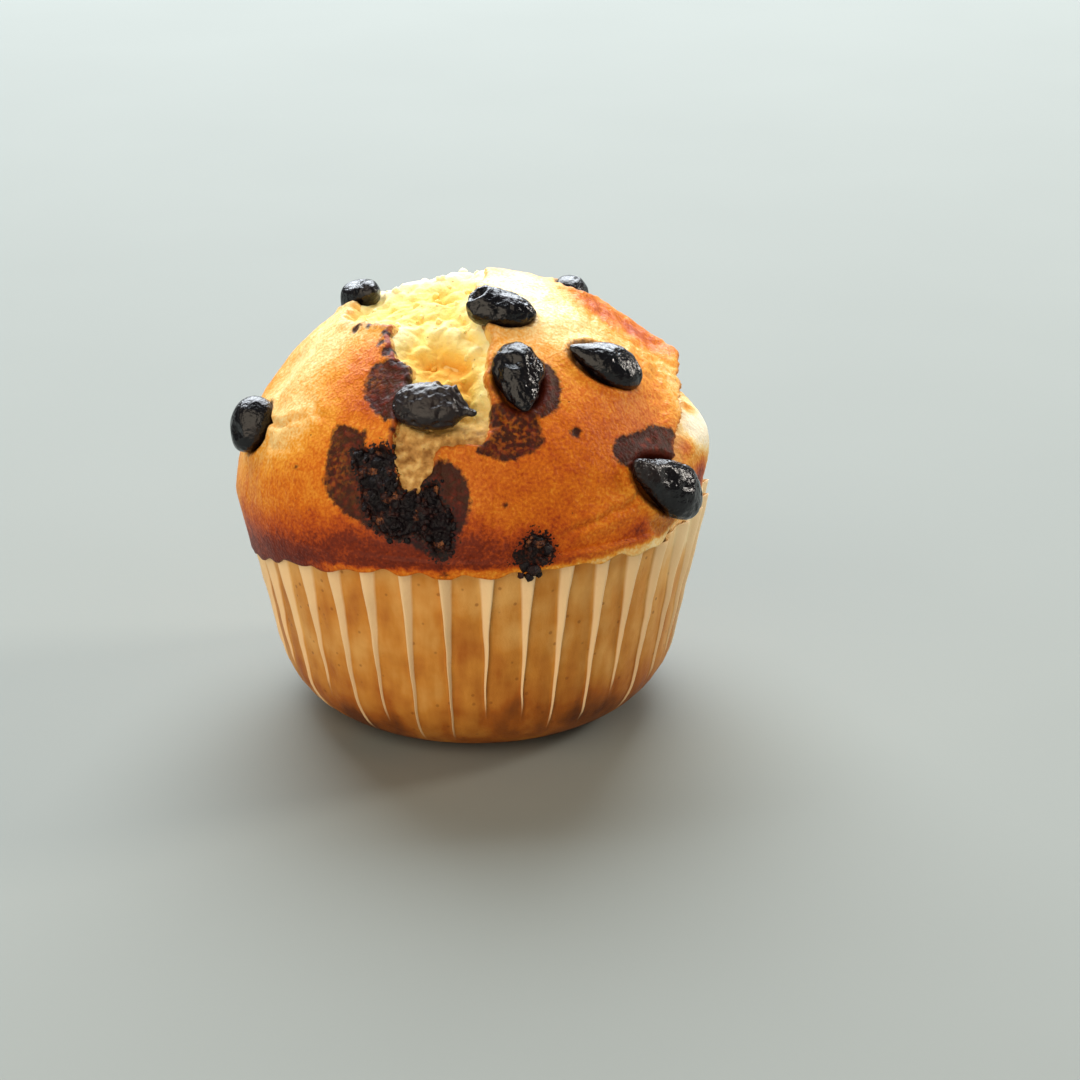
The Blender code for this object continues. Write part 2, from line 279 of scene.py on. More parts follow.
def outline_distance(spot, stretch, corners):
    """Distance in mm from the outline, below 0 inside it: the nearest side's distance,
    and a point is inside when a ray from it crosses the sides an odd number of times."""
    nearest = np.full(spot.shape[:-1], np.inf)
    inside = np.zeros(spot.shape[:-1], bool)
    for start, end in zip(corners, np.roll(corners, -1, 0)):
        along = end - start
        t = np.clip((spot - start) @ along / (along @ along), 0, 1)
        away = spot - start - t[..., None] * along
        nearest = np.minimum(nearest, (away**2).sum(-1))
        spans = (start[1] > spot[..., 1]) != (end[1] > spot[..., 1])
        cross = start[0] + (spot[..., 1] - start[1]) * along[0] / (along[1] + 1e-12)
        inside ^= spans & (spot[..., 0] < cross)
    return np.sqrt(nearest) * np.where(inside, -1, 1) / stretch


def line_distance(spot, stretch, line):
    """Distance in mm from a chain of azimuth, polar and value, the value at its nearest
    place, and the side: above 0 to the right of the chain."""
    table = np.array(line, float)
    nodes = to_map(*np.radians(table[:, :2].T))[0]
    nearest = np.full(spot.shape[:-1], np.inf)
    value, side = np.zeros_like(nearest), np.ones(spot.shape[:-1])
    for i in range(len(nodes) - 1):
        along = nodes[i + 1] - nodes[i]
        t = np.clip((spot - nodes[i]) @ along / (along @ along), 0, 1)
        away = spot - nodes[i] - t[..., None] * along
        distance = np.linalg.norm(away, axis=-1)
        closer = distance < nearest
        nearest = np.where(closer, distance, nearest)
        value = np.where(closer, table[i, 2] + t * (table[i + 1, 2] - table[i, 2]), value)
        side = np.where(closer, np.sign(away[..., 0] * along[1] - away[..., 1] * along[0]), side)
    return nearest / stretch, value, side


print("the map stretches the widest ring", round(float(MAP_RADIUS[-1] / OUT[-1]), 2), "times")

# %% [markdown]
# ## What the oven drew on the crust
#
# These short lists are all the drawing there is: the tear, the flap of crust that
# lifted on the right, the places where melted chocolate stained the skin, and the
# patches where it boiled through and burnt to black crumbs. Each corner is an azimuth
# and a polar angle, in degrees.

# %% Outlines on the dome
TEAR = (
    (-15, 72), (-10, 66), (-9, 60), (-4, 58), (3, 58), (6, 52), (6, 47), (5, 41), (8, 33),
    (10, 28), (9, 22), (5, 16), (5, 9), (60, 3), (160, 9), (172, 22), (-178, 34), (-166, 43),
    (-150, 42), (-130, 37), (-106, 33), (-82, 34), (-62, 30), (-48, 28), (-41, 32),
    (-33, 37), (-25, 39), (-22, 44), (-21, 50), (-22, 56), (-21, 62), (-18, 68),
)
FLAP = (
    (55, 75, 0.0), (59, 70, 1.0), (66, 65.5, 1.3), (75, 61, 1.1), (84, 58.5, 1.2), (95, 57.5, 1.7),
    (104, 59, 2.3), (110, 52, 1.0), (112, 42, 0.5), (108, 30, 0.4), (104, 18, 0.0),
)
STAINS = (
    ((-39, 41), (-34, 38), (-26, 38), (-22, 41), (-20, 47), (-20, 53), (-24, 54), (-30, 52), (-36, 48)),
    ((22, 37), (30, 39), (32, 44), (29, 49), (25, 52), (19, 52), (16, 44)),
    ((5, 51), (9, 48), (17, 50), (20, 54), (20, 59), (15, 62), (9, 63), (3, 61), (2, 59), (6, 56)),
    ((39, 66), (42, 62), (50, 62), (57, 62), (62, 66), (60, 71), (52, 72), (43, 71)),
    ((-40, 57), (-31, 58), (-28, 61), (-22, 60), (-18, 68), (-14, 70), (-9, 63), (-5, 63),
     (-1, 67), (0, 72), (-1, 78), (-3, 84), (-5, 89), (-8, 89), (-12, 86), (-21, 83), (-30, 79),
     (-36, 75), (-39, 66)),
)
BURNT = (
    ((-32, 63), (-28, 62), (-25, 60), (-21, 61), (-19, 67), (-17, 72), (-12, 69), (-8, 68),
     (-7, 73), (-4, 76), (-4, 82), (-5, 88), (-8, 89), (-10, 84), (-13, 82), (-17, 84),
     (-22, 81), (-26, 77), (-27, 73), (-29, 68)),
    ((14, 82), (17, 84), (19, 89), (15, 91), (10, 91), (12, 86)),
)
# azimuth, polar and radius in mm of small round stains
SPOTS = (
    (30, 58, 0.75), (-22, 56, 0.45), (-37, 36, 0.9), (-35, 34.5, 0.6), (-66, 33, 0.8), (-60, 31, 0.5),
    (-46, 31, 0.7), (-43, 34, 0.7), (-30, 58, 0.5), (8, 74, 0.3), (-48, 70, 0.25), (140, 66, 0.7),
)
tear_corners = rounded(TEAR)
stain_corners = [rounded(stain) for stain in STAINS]
burnt_corners = [rounded(burn) for burn in BURNT]
print(len(STAINS), "stains,", len(BURNT), "burnt patches")

# %% [markdown]
# ## Meshes from arrays
#
# Every new surface is a grid of points, so one helper can turn any of them into a mesh.
# A grid that goes all the way round closes on itself, and a single point can close its
# first or last row. Values that belong to the surface, such as how brown it is, are
# kept on the points as attributes, for the materials to read.

# %% Turn grids into meshes
def grid_mesh(name, points, material, around=True, first=None, last=None, keep=None, **values):
    """An object from a grid of points, rows by columns. around joins the last column to
    the first, first and last are points that close the ends, and keep drops the faces
    whose corners are all outside it. values become attributes."""
    rows, columns = points.shape[:2]
    index = np.arange(rows * columns).reshape(rows, columns)
    right = np.roll(index, -1, axis=1)
    if not around:
        index_cut, right = index[:, :-1], right[:, :-1]
    else:
        index_cut = index
    faces = np.stack([index_cut[:-1], index_cut[1:], right[1:], right[:-1]], -1).reshape(-1, 4)
    if keep is not None:
        faces = faces[keep.ravel()[faces].any(axis=1)]
    flat, quads, fans = points.reshape(-1, 3), faces.tolist(), []
    if first is not None:
        fans += np.stack([np.full(columns, len(flat)), index[0], np.roll(index[0], -1)], -1).tolist()
        flat = np.vstack([flat, first])
    if last is not None:
        fans += np.stack([np.full(columns, len(flat)), np.roll(index[-1], -1), index[-1]], -1).tolist()
        flat = np.vstack([flat, last])
    used = np.unique(faces) if keep is not None else np.arange(len(flat))
    if keep is not None:
        renumber = np.zeros(len(flat), int)
        renumber[used] = np.arange(len(used))
        quads = renumber[faces].tolist()
    mesh = bpy.data.meshes.new(name)
    mesh.from_pydata((flat[used] * MM).tolist(), [], quads + fans)
    for label, value in values.items():
        filled = np.append(np.broadcast_to(value, (rows, columns)).ravel(), np.zeros(len(flat) - rows * columns))
        if first is not None:
            filled[rows * columns] = filled[:columns].mean()
        attribute = mesh.attributes.new(label, "FLOAT", "POINT")
        attribute.data.foreach_set("value", filled[used].astype(np.float32))
    mesh.polygons.foreach_set("use_smooth", np.ones(len(mesh.polygons), bool))
    mesh.update()
    made = bpy.data.objects.new(name, mesh)
    bpy.context.scene.collection.objects.link(made)
    made.data.materials.append(material)
    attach(made, "root")
    print(f"{name}: {len(quads) * 2 + len(fans)} triangles")
    return made


# %% [markdown]
# ## Building materials from nodes
#
# Three small helpers keep the materials readable: one adds a node and fills its inputs,
# one does arithmetic, and one mixes two colours. Colours are given as the 0 to 255
# numbers of a screen, and turned into the amounts of light that a shader works with.

# %% Node helpers
def colour(red, green, blue):
    """Screen numbers to light: the screen's curve undone, a power of 2.4 with a straight
    piece near black."""
    c = np.array([red, green, blue]) / 255
    return (*np.where(c < 0.04045, c / 12.92, ((c + 0.055) / 1.055) ** 2.4), 1.0)


def add(tree, kind, inputs=None, **options):
    """A node with its options set. An input that is a socket is linked, others are set."""
    node = tree.nodes.new("ShaderNode" + kind)
    for name, value in options.items():
        setattr(node, name, value)
    for name, value in (inputs or {}).items():
        if isinstance(value, bpy.types.NodeSocket):
            tree.links.new(value, node.inputs[name])
        else:
            node.inputs[name].default_value = value
    return node


def calc(tree, operation, first, second=0.0, third=0.0):
    """The result of one arithmetic node."""
    return add(tree, "Math", {0: first, 1: second, 2: third}, operation=operation).outputs[0]


def fade(tree, value, low, high):
    """0 where value is at low, 1 at high, with a smooth curve between."""
    inputs = {"Value": value, "From Min": low, "From Max": high}
    return add(tree, "MapRange", inputs, interpolation_type="SMOOTHSTEP").outputs[0]


def tint(tree, amount, first, second, mode="MIX"):
    """first, going over to second by amount."""
    node = add(tree, "Mix", {0: amount, 6: first, 7: second}, data_type="RGBA", blend_type=mode)
    return node.outputs[2]


def held(tree, name):
    """An attribute of the surface."""
    return add(tree, "Attribute", attribute_name=name).outputs["Fac"]


def colour_scale(tree, value, *stops):
    """A run of colours: each stop is a place from 0 to 1 and a colour."""
    node = add(tree, "ValToRGB", {0: value})
    while len(node.color_ramp.elements) < len(stops):
        node.color_ramp.elements.new(0.5)
    for element, (place, shade) in zip(node.color_ramp.elements, stops):
        element.position, element.color = place, shade
    return node.outputs[0]


def new_material(name, **constants):
    """An empty material with a shader, its plain values set on the shader's own sockets."""
    material = bpy.data.materials.new(name)
    material.use_nodes = True
    tree = material.node_tree
    shader = tree.nodes["Principled BSDF"]
    for label, value in constants.items():
        shader.inputs[label.replace("_", " ")].default_value = value
    return material, tree, shader


def finish_surface(tree, shader, base, roughness, height, depth, strength=1.0):
    """Feeds the shader: its colour, its roughness, and a bump of the given depth in mm."""
    tree.links.new(base, shader.inputs["Base Color"])
    tree.links.new(roughness, shader.inputs["Roughness"])
    bump = add(tree, "Bump", {"Height": height, "Distance": depth * MM, "Strength": strength})
    tree.links.new(bump.outputs[0], shader.inputs["Normal"])


# %% [markdown]
# ## Three effects that every material shares
#
# Grain is fine noise at two sizes, for colour and for bumps. Flecks are small round
# spots, scattered by cells, for bran in the paper and bubbles in the crumb. A ragged
# edge turns a smooth distance into a torn outline: noise is added to the distance
# before it is cut off. Each is a node group, so a material only sets its sizes.

# %% Node groups
def new_group(name, inputs, outputs):
    """A node group with number sockets; returns its tree and its two end nodes."""
    tree = bpy.data.node_groups.new(name, "ShaderNodeTree")
    for label, value in inputs.items():
        made = tree.interface.new_socket(label, in_out="INPUT", socket_type="NodeSocketFloat")
        made.default_value = value
    for label in outputs:
        tree.interface.new_socket(label, in_out="OUTPUT", socket_type="NodeSocketFloat")
    return tree, tree.nodes.new("NodeGroupInput"), tree.nodes.new("NodeGroupOutput")


def per_metre(tree, size):
    """Texture scale for features of the given size in mm."""
    return calc(tree, "DIVIDE", 1000.0, size)


def place_on_piece(tree):
    """Where the shaded point is on the piece, in metres."""
    return add(tree, "TexCoord").outputs["Object"]


def noise_node(tree, size, detail=2.0, kind="FBM"):
    inputs = {"Vector": place_on_piece(tree), "Scale": per_metre(tree, size), "Detail": detail}
    return add(tree, "TexNoise", inputs, noise_type=kind).outputs[0]


grain, ends_in, ends_out = new_group("grain", {"Fine": 0.4, "Coarse": 3.0}, ("Fine", "Coarse"))
for label in ("Fine", "Coarse"):
    grain.links.new(noise_node(grain, ends_in.outputs[label], 3.0), ends_out.inputs[label])

flecks, ends_in, ends_out = new_group("flecks", {"Spacing": 3.0, "Size": 0.3, "Share": 0.5}, ("Mask",))
spots = add(flecks, "TexVoronoi", {"Vector": place_on_piece(flecks), "Scale": per_metre(flecks, ends_in.outputs["Spacing"])})
edge = calc(flecks, "DIVIDE", ends_in.outputs["Size"], ends_in.outputs["Spacing"])
inner = calc(flecks, "MULTIPLY", edge, 0.45)
disc = fade(flecks, spots.outputs["Distance"], edge, inner)
pick = add(flecks, "SeparateColor", {0: spots.outputs["Color"]}).outputs[0]
chosen = calc(flecks, "LESS_THAN", pick, ends_in.outputs["Share"])
flecks.links.new(calc(flecks, "MULTIPLY", disc, chosen), ends_out.inputs["Mask"])

ragged, ends_in, ends_out = new_group(
    "ragged edge", {"Distance": 0.0, "Raggedness": 0.5, "Size": 0.6, "Softness": 0.15}, ("Inside",))
wobble = calc(ragged, "SUBTRACT", noise_node(ragged, ends_in.outputs["Size"], 4.0), 0.5)
moved = calc(ragged, "MULTIPLY_ADD", calc(ragged, "MULTIPLY", wobble, 4.0), ends_in.outputs["Raggedness"], ends_in.outputs["Distance"])
soft = ends_in.outputs["Softness"]
ragged.links.new(fade(ragged, moved, soft, calc(ragged, "MULTIPLY", soft, -1.0)), ends_out.inputs["Inside"])


def use(tree, group, output=0, **inputs):
    """A group placed in a material, with its values; returns one of its outputs."""
    node = tree.nodes.new("ShaderNodeGroup")
    node.node_tree = group
    for label, value in inputs.items():
        if isinstance(value, bpy.types.NodeSocket):
            tree.links.new(value, node.inputs[label])
        else:
            node.inputs[label].default_value = value
    return node.outputs[output]


print("groups:", [group.name for group in (grain, flecks, ragged)])

# %% [markdown]
# ## Where the chips sit
#
# The solid model already holds thirteen chips, each a drop lying on its side. We read
# each one's place from its own points: the longest direction is its length, the
# narrower end is its tip, and the direction away from the dome is its top.

# %% Read the chips' places
def chip_place(node):
    """Middle, three directions (tip, side, out) and three sizes of a solid chip. Its
    length runs along the direction in which its points spread most."""
    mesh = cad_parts[node].data
    points = np.empty(len(mesh.vertices) * 3)
    mesh.vertices.foreach_get("co", points)
    points = points.reshape(-1, 3) / MM
    middle = points.mean(axis=0)
    tip = np.linalg.svd(points - middle, full_matrices=False)[2][0]
    along = (points - middle) @ tip
    aside = np.linalg.norm(points - middle - along[:, None] * tip, axis=1)
    reach = along.max()
    if aside[along > 0.6 * reach].max() > aside[along < -0.6 * reach].max():
        tip = -tip
    out = dome_normal(middle[None])[0]
    out = out - (out @ tip) * tip
    out /= np.linalg.norm(out)
    axes = np.stack([tip, np.cross(out, tip), out])
    spread = (points - middle) @ axes.T
    low, high = spread.min(axis=0), spread.max(axis=0)
    return middle + (low + high) / 2 @ axes, axes, high - low


chip_nodes = sorted(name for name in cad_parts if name.startswith("chip_"))
chip_places = {name: chip_place(name) for name in chip_nodes}


def chip_gap(points):
    """Distance in mm to the nearest chip, below 0 inside one: a point's distance from
    each chip's middle, counted in half-sizes, less 1, times the half-width."""
    gap = np.full(points.shape[:-1], 9.0)
    for middle, axes, size in chip_places.values():
        near = np.linalg.norm(points - middle, axis=-1) < 14
        local = (points[near] - middle) @ axes.T / (size / 2)
        away = (np.linalg.norm(local, axis=-1) - 1) * size[1] / 2
        gap[near] = np.minimum(gap[near], away)
    return gap


for name in chip_nodes[:3]:
    print(name, "sizes in mm:", chip_places[name][2].round(1))

# %% [markdown]
# ## The crust's finish
#
# A baked skin goes from straw through gold and orange to red-brown where it browned
# most. One attribute, tone, says how brown each place is, and a run of colours turns it
# into paint. Tone also carries painted light: a paler top, partly painted highlight
# where the window light whitens it, and a dark low band, partly painted shade under the
# lip. Fine grain breaks the tone up, since every bubble in the skin browns a little
# differently. Melted chocolate stains the skin dark red, with a ragged outline. Small
# pits are painted darker as painted shade, and a dark ring round each chip is partly a
# chocolate stain and partly painted shadow where the chip sits in the crust.

# %% Crust material
crust, tree, shader = new_material("crust", Specular_IOR_Level=0.22, IOR=1.45)
fine = use(tree, grain, "Fine", Fine=0.45, Coarse=2.2)
coarse = use(tree, grain, "Coarse", Fine=0.45, Coarse=2.6)
tone = calc(tree, "MULTIPLY_ADD", calc(tree, "SUBTRACT", fine, 0.5), 0.42, held(tree, "tone"))
tone = calc(tree, "MULTIPLY_ADD", calc(tree, "SUBTRACT", coarse, 0.5), 0.22, tone)
base = colour_scale(
    tree, tone,
    (0.00, colour(255, 242, 212)), (0.18, colour(250, 216, 146)), (0.36, colour(238, 160, 50)),
    (0.52, colour(214, 112, 17)), (0.66, colour(180, 74, 10)), (0.80, colour(122, 42, 12)),
    (1.00, colour(76, 22, 14)),
)
torn_rim = use(tree, ragged, Distance=calc(tree, "SUBTRACT", held(tree, "tear"), 0.7), Raggedness=0.6, Size=0.7, Softness=0.4)
base = tint(tree, calc(tree, "MULTIPLY", torn_rim, held(tree, "rim")), base, colour(150, 62, 30))
torn = use(tree, ragged, Distance=calc(tree, "ADD", held(tree, "tear"), 0.15), Raggedness=0.25, Size=0.5, Softness=0.15)
base = tint(tree, torn, base, colour(240, 196, 110))
stained = use(tree, ragged, Distance=held(tree, "stain"), Raggedness=0.40, Size=0.8, Softness=0.35)
speckle = fade(tree, noise_node(tree, 0.75, 3.0), 0.42, 0.66)
clean = calc(tree, "MULTIPLY", calc(tree, "MULTIPLY", speckle, held(tree, "mottled")), 0.62)
stained = calc(tree, "MULTIPLY", stained, calc(tree, "SUBTRACT", 0.95, clean))
ring = fade(tree, held(tree, "stain"), -1.1, -0.2)
shade = calc(tree, "MULTIPLY_ADD", ring, -0.14, noise_node(tree, 0.9, 5.0))
stain_colour = colour_scale(
    tree, shade,
    (0.28, colour(20, 3, 6)), (0.46, colour(40, 5, 8)), (0.60, colour(74, 14, 12)), (0.80, colour(132, 50, 20)),
)
base = tint(tree, stained, base, stain_colour)
burnt = use(tree, ragged, Distance=calc(tree, "SUBTRACT", held(tree, "burnt"), 0.5), Raggedness=1.1, Size=0.45, Softness=0.25)
burnt_colour = colour_scale(tree, noise_node(tree, 0.5, 3.0), (0.50, colour(18, 8, 9)), (0.72, colour(80, 34, 16)))
base = tint(tree, burnt, base, burnt_colour)
# Small pits, painted darker as painted shade in the pits, and sunk by the bump.
shaded_pores = use(tree, flecks, Spacing=1.9, Size=0.16, Share=0.3)
base = tint(tree, calc(tree, "MULTIPLY", shaded_pores, 0.6), base, colour(110, 48, 18))
base = tint(tree, calc(tree, "MULTIPLY", held(tree, "hollow"), 0.6), base, colour(252, 214, 140))
base = tint(tree, calc(tree, "MULTIPLY", held(tree, "flap_rim"), 0.6), base, colour(196, 104, 44))
# A dark ring where each chip sits: partly a chocolate stain, partly painted shadow where the chip meets the crust.
chip_stain_and_shadow = use(tree, ragged, Distance=calc(tree, "SUBTRACT", held(tree, "chip"), 0.35), Raggedness=0.35, Size=0.6, Softness=0.4)
base = tint(tree, calc(tree, "MULTIPLY", chip_stain_and_shadow, 0.75), base, colour(84, 26, 12))
roughness = calc(tree, "MULTIPLY_ADD", fine, 0.3, 0.34)
height = calc(tree, "MULTIPLY_ADD", fine, 0.7, calc(tree, "MULTIPLY", coarse, 0.6))
height = calc(tree, "SUBTRACT", height, calc(tree, "MULTIPLY", shaded_pores, 0.5))
finish_surface(tree, shader, base, roughness, height, 0.22)

# %% [markdown]
# ## The crust
#
# The crust is one closed surface: a grid of rings, from the top of the dome over its
# lip, then down inside the paper and closed at the base. Each ring's points are packed
# closer together at the front. Points then move in or out along the dome's normal by a
# sum of small reliefs: bumps, the tear's lip and its drop, the flap and the hollow
# behind it, creases, and a collar around each chip.

# %% Reliefs of the crust
CREASES = (
    ((-84, 58, 0.0), (-72, 64, 0.40), (-60, 62, 0.45), (-51, 57, 0.0)),
    ((-68, 70, 0.0), (-60, 68, 0.25), (-52, 66, 0.0)),
    ((-58, 52, 0.0), (-50, 56, 0.30), (-43, 57, 0.0)),
    ((20, 85, 0.0), (26, 83, 0.35), (33, 81.5, 0.40), (41, 79, 0.35), (46, 76, 0.0)),
    ((44, 84, 0.0), (47, 87, 0.30), (52, 88, 0.0)),
    ((158, 70, 0.0), (166, 66, 0.35), (176, 68, 0.0)),
)


SWELLS = (
    (-88, 54, 5.5, -1.3), (-72, 66, 4.0, -0.8), (84, 75, 5.5, 1.1), (102, 66, 3.0, -0.9), (30, 7, 3.0, 0.5),
    (-60, 60, 3.0, 0.4), (44, 87, 3.0, 0.5), (-60, 38, 7.0, -0.4),
)


def shaken(points, amount, seed):
    """Two numbers per point that shake a map position: noise at 1.7 and at 0.6 mm."""
    parts = [noise(points, 1.7, seed + k) + 0.45 * noise(points, 0.6, seed + k + 1) for k in (0, 5)]
    return amount * np.stack(parts, -1)


def tear_distance(azimuth, polar, points):
    """Distance from the tear's edge, below 0 inside it. The place is shaken first, so
    that the skin looks ripped."""
    spot, stretch = to_map(azimuth, polar)
    spot = spot + shaken(points, 0.5, 31) * stretch[..., None]
    return outline_distance(spot, stretch, tear_corners)


def lowest_distance(azimuth, polar, points, outlines, amount, seed):
    """Distance from the nearest of several outlines, each place shaken by amount."""
    spot, stretch = to_map(azimuth, polar)
    spot = spot + shaken(points, amount, seed) * stretch[..., None]
    return np.min([outline_distance(spot, stretch, corners) for corners in outlines], axis=0)


def spot_distance(points):
    """Distance from the rim of the nearest small round stain."""
    spots = np.array(SPOTS)
    middles = dome_point(*np.radians(spots[:, :2].T))
    away = [np.linalg.norm(points - middle, axis=-1) - size for middle, size in zip(middles, spots[:, 2])]
    return np.min(away, axis=0) + 0.25 * noise(points, 0.6, 58)


def flap_relief(azimuth, polar, points):
    """The lifted skin rises to its free edge over 5 mm, drops off within 1 mm into a
    hollow, and comes back to the dome over 5 mm. Also where the hollow and the rim show."""
    spot, stretch = to_map(azimuth, polar)
    spot = spot + shaken(points, 0.55, 61) * stretch[..., None]
    distance, stand, side = line_distance(spot, stretch, FLAP)
    outside = side * distance
    lifted = step(0, 1, stand)
    up = stand * step(-5.5, -0.2, outside) * step(0.9, 0.1, outside)
    up = up * np.where(outside < 0, np.exp(-np.clip(-outside - 5, 0, None)), 1)
    hollow = -2.7 * lifted * step(0.0, 0.9, outside) * np.exp(-((outside / 3.2) ** 2))
    pale = lifted * step(0.3, 0.8, outside) * step(4.5, 2.0, outside)
    return up + hollow, pale, lifted * step(-0.5, 0.0, outside) * step(0.7, 0.3, outside)


def crease_relief(azimuth, polar, points):
    """Thin grooves, each deepest in its middle, with a soft ridge on both sides."""
    spot, stretch = to_map(azimuth, polar)
    spot = spot + shaken(points, 0.35, 71) * stretch[..., None]
    total = np.zeros(azimuth.shape)
    for line in CREASES:
        distance, depth, _ = line_distance(spot, stretch, line)
        total += depth * (0.6 * np.exp(-(((distance - 1.1) / 0.8) ** 2)) - np.exp(-((distance / 0.45) ** 2)))
    return total


def near_place(points, azimuth, polar, spread):
    """A soft spot: a bell curve of the distance from a place on the dome."""
    middle = dome_point(np.radians(azimuth), np.radians(polar))
    return np.exp(-(np.linalg.norm(points - middle, axis=-1) / spread) ** 2)


# %% [markdown]
# The tone is a gentle run from a paler top to a browner side, plus a short list of soft
# spots where the oven's heat or the batter made it darker or paler, plus the dark band
# low on the side. The paler top, and the wide pale spot high on the left, are also partly
# painted highlight, where the window light whitens the crust. The band is partly browning
# where the skin met the hot rim of the tin and partly painted shade under the lip.

# %% Tone of the crust
# Azimuth, polar, spread in mm and change of tone. The pale spot at azimuth -75, polar 45 is partly painted highlight.
TONES = (
    (-75, 45, 14, -0.20), (-85, 72, 10, -0.12), (-54, 60, 6, -0.10), (-42, 66, 6, 0.05),
    (-48, 41, 6, 0.15), (-33, 50, 3, 0.15), (-62, 67, 5, -0.10), (-56, 74, 5, 0.05),
    (-35, 32, 5, 0.10), (55, 17, 11, -0.22), (60, 36, 8, -0.06), (80, 52, 5, -0.06),
    (95, 32, 4.5, 0.30), (99, 46, 4.0, 0.24), (30, 62, 12, 0.05), (10, 68, 8, 0.04),
    (82, 72, 7, -0.62), (45, 80, 7, -0.12), (84, 66, 1.6, 0.38), (70, 72, 1.8, 0.34), (42, 88, 2.2, 0.30), (25, 86, 5, -0.08), (-120, 45, 14, -0.12),
    (76, 84, 3.5, 0.55), (150, 35, 14, -0.05), (180, 70, 14, 0.05), (40, 68, 8, 0.05),
)
# How strong the dark low band is around the side: partly browning, partly painted shade under the lip.
BAND_BROWNING_AND_SHADE = (
    (-180, 0.25), (-150, 0.25), (-110, 0.25), (-75, 0.34), (-50, 0.38), (-20, 0.35), (6, 0.31),
    (16, 0.20), (40, 0.02), (60, 0.0), (100, 0.05), (120, 0.25), (150, 0.35), (180, 0.25),
)


def crust_tone(azimuth, polar, points, rise):
    """Paler at the top, browner down the side, changed by the soft spots and the band."""
    # Paler at the top: partly the crust's own colour, partly painted highlight where the window light whitens it.
    tone = 0.34 + 0.16 * step(15, 62, np.degrees(polar)) + 0.06 * rough(points, 9, 2, 81)
    for place in TONES:
        tone += place[3] * near_place(points, *place[:3])
    # The dark low band: partly browning, partly painted shade under the lip.
    strength = np.interp(np.degrees(azimuth), *np.array(BAND_BROWNING_AND_SHADE).T)
    top = 6.0 - 1.5 * step(-20, -60, np.degrees(azimuth)) + 1.4 * noise(points, 7, 83) + 0.7 * noise(points, 1.5, 84)
    # A thin paler line at the very edge on the front and right: partly less browning, partly a painted glow of light
    # through the thin edge.
    thin = step(-50, -30, np.degrees(azimuth)) * step(1.3, 0.3, rise + 0.4 * noise(points, 1.2, 85))
    return tone + strength * step(top + 4, top - 3, rise) - 0.30 * thin


# %% Build the crust
COLUMNS, DOME_RINGS, LIP_RINGS = 590, 142, 10
turn = np.linspace(-np.pi, np.pi, COLUMNS, endpoint=False)
ring_azimuth = turn - 0.35 * np.sin(turn)


def tucked(azimuth):
    """1 where the crust stays inside the paper's rim, on the right, and 0 elsewhere."""
    degrees = np.degrees(azimuth)
    return step(46, 62, degrees) * step(128, 108, degrees)


def crust_edge(azimuth):
    """Height of the lip's lowest line: the nominal edge, a drip at each pleat, and noise."""
    round_line = placed(azimuth, 34.0, 0.0)
    drips = -0.14 * np.cos(37 * (azimuth + np.radians(6.1))) + 0.65 * noise(round_line, 2.4, 91)
    return edge_height(azimuth) - 0.25 + drips * (1 - 0.7 * tucked(azimuth)) + 0.5 * noise(round_line, 9, 92)


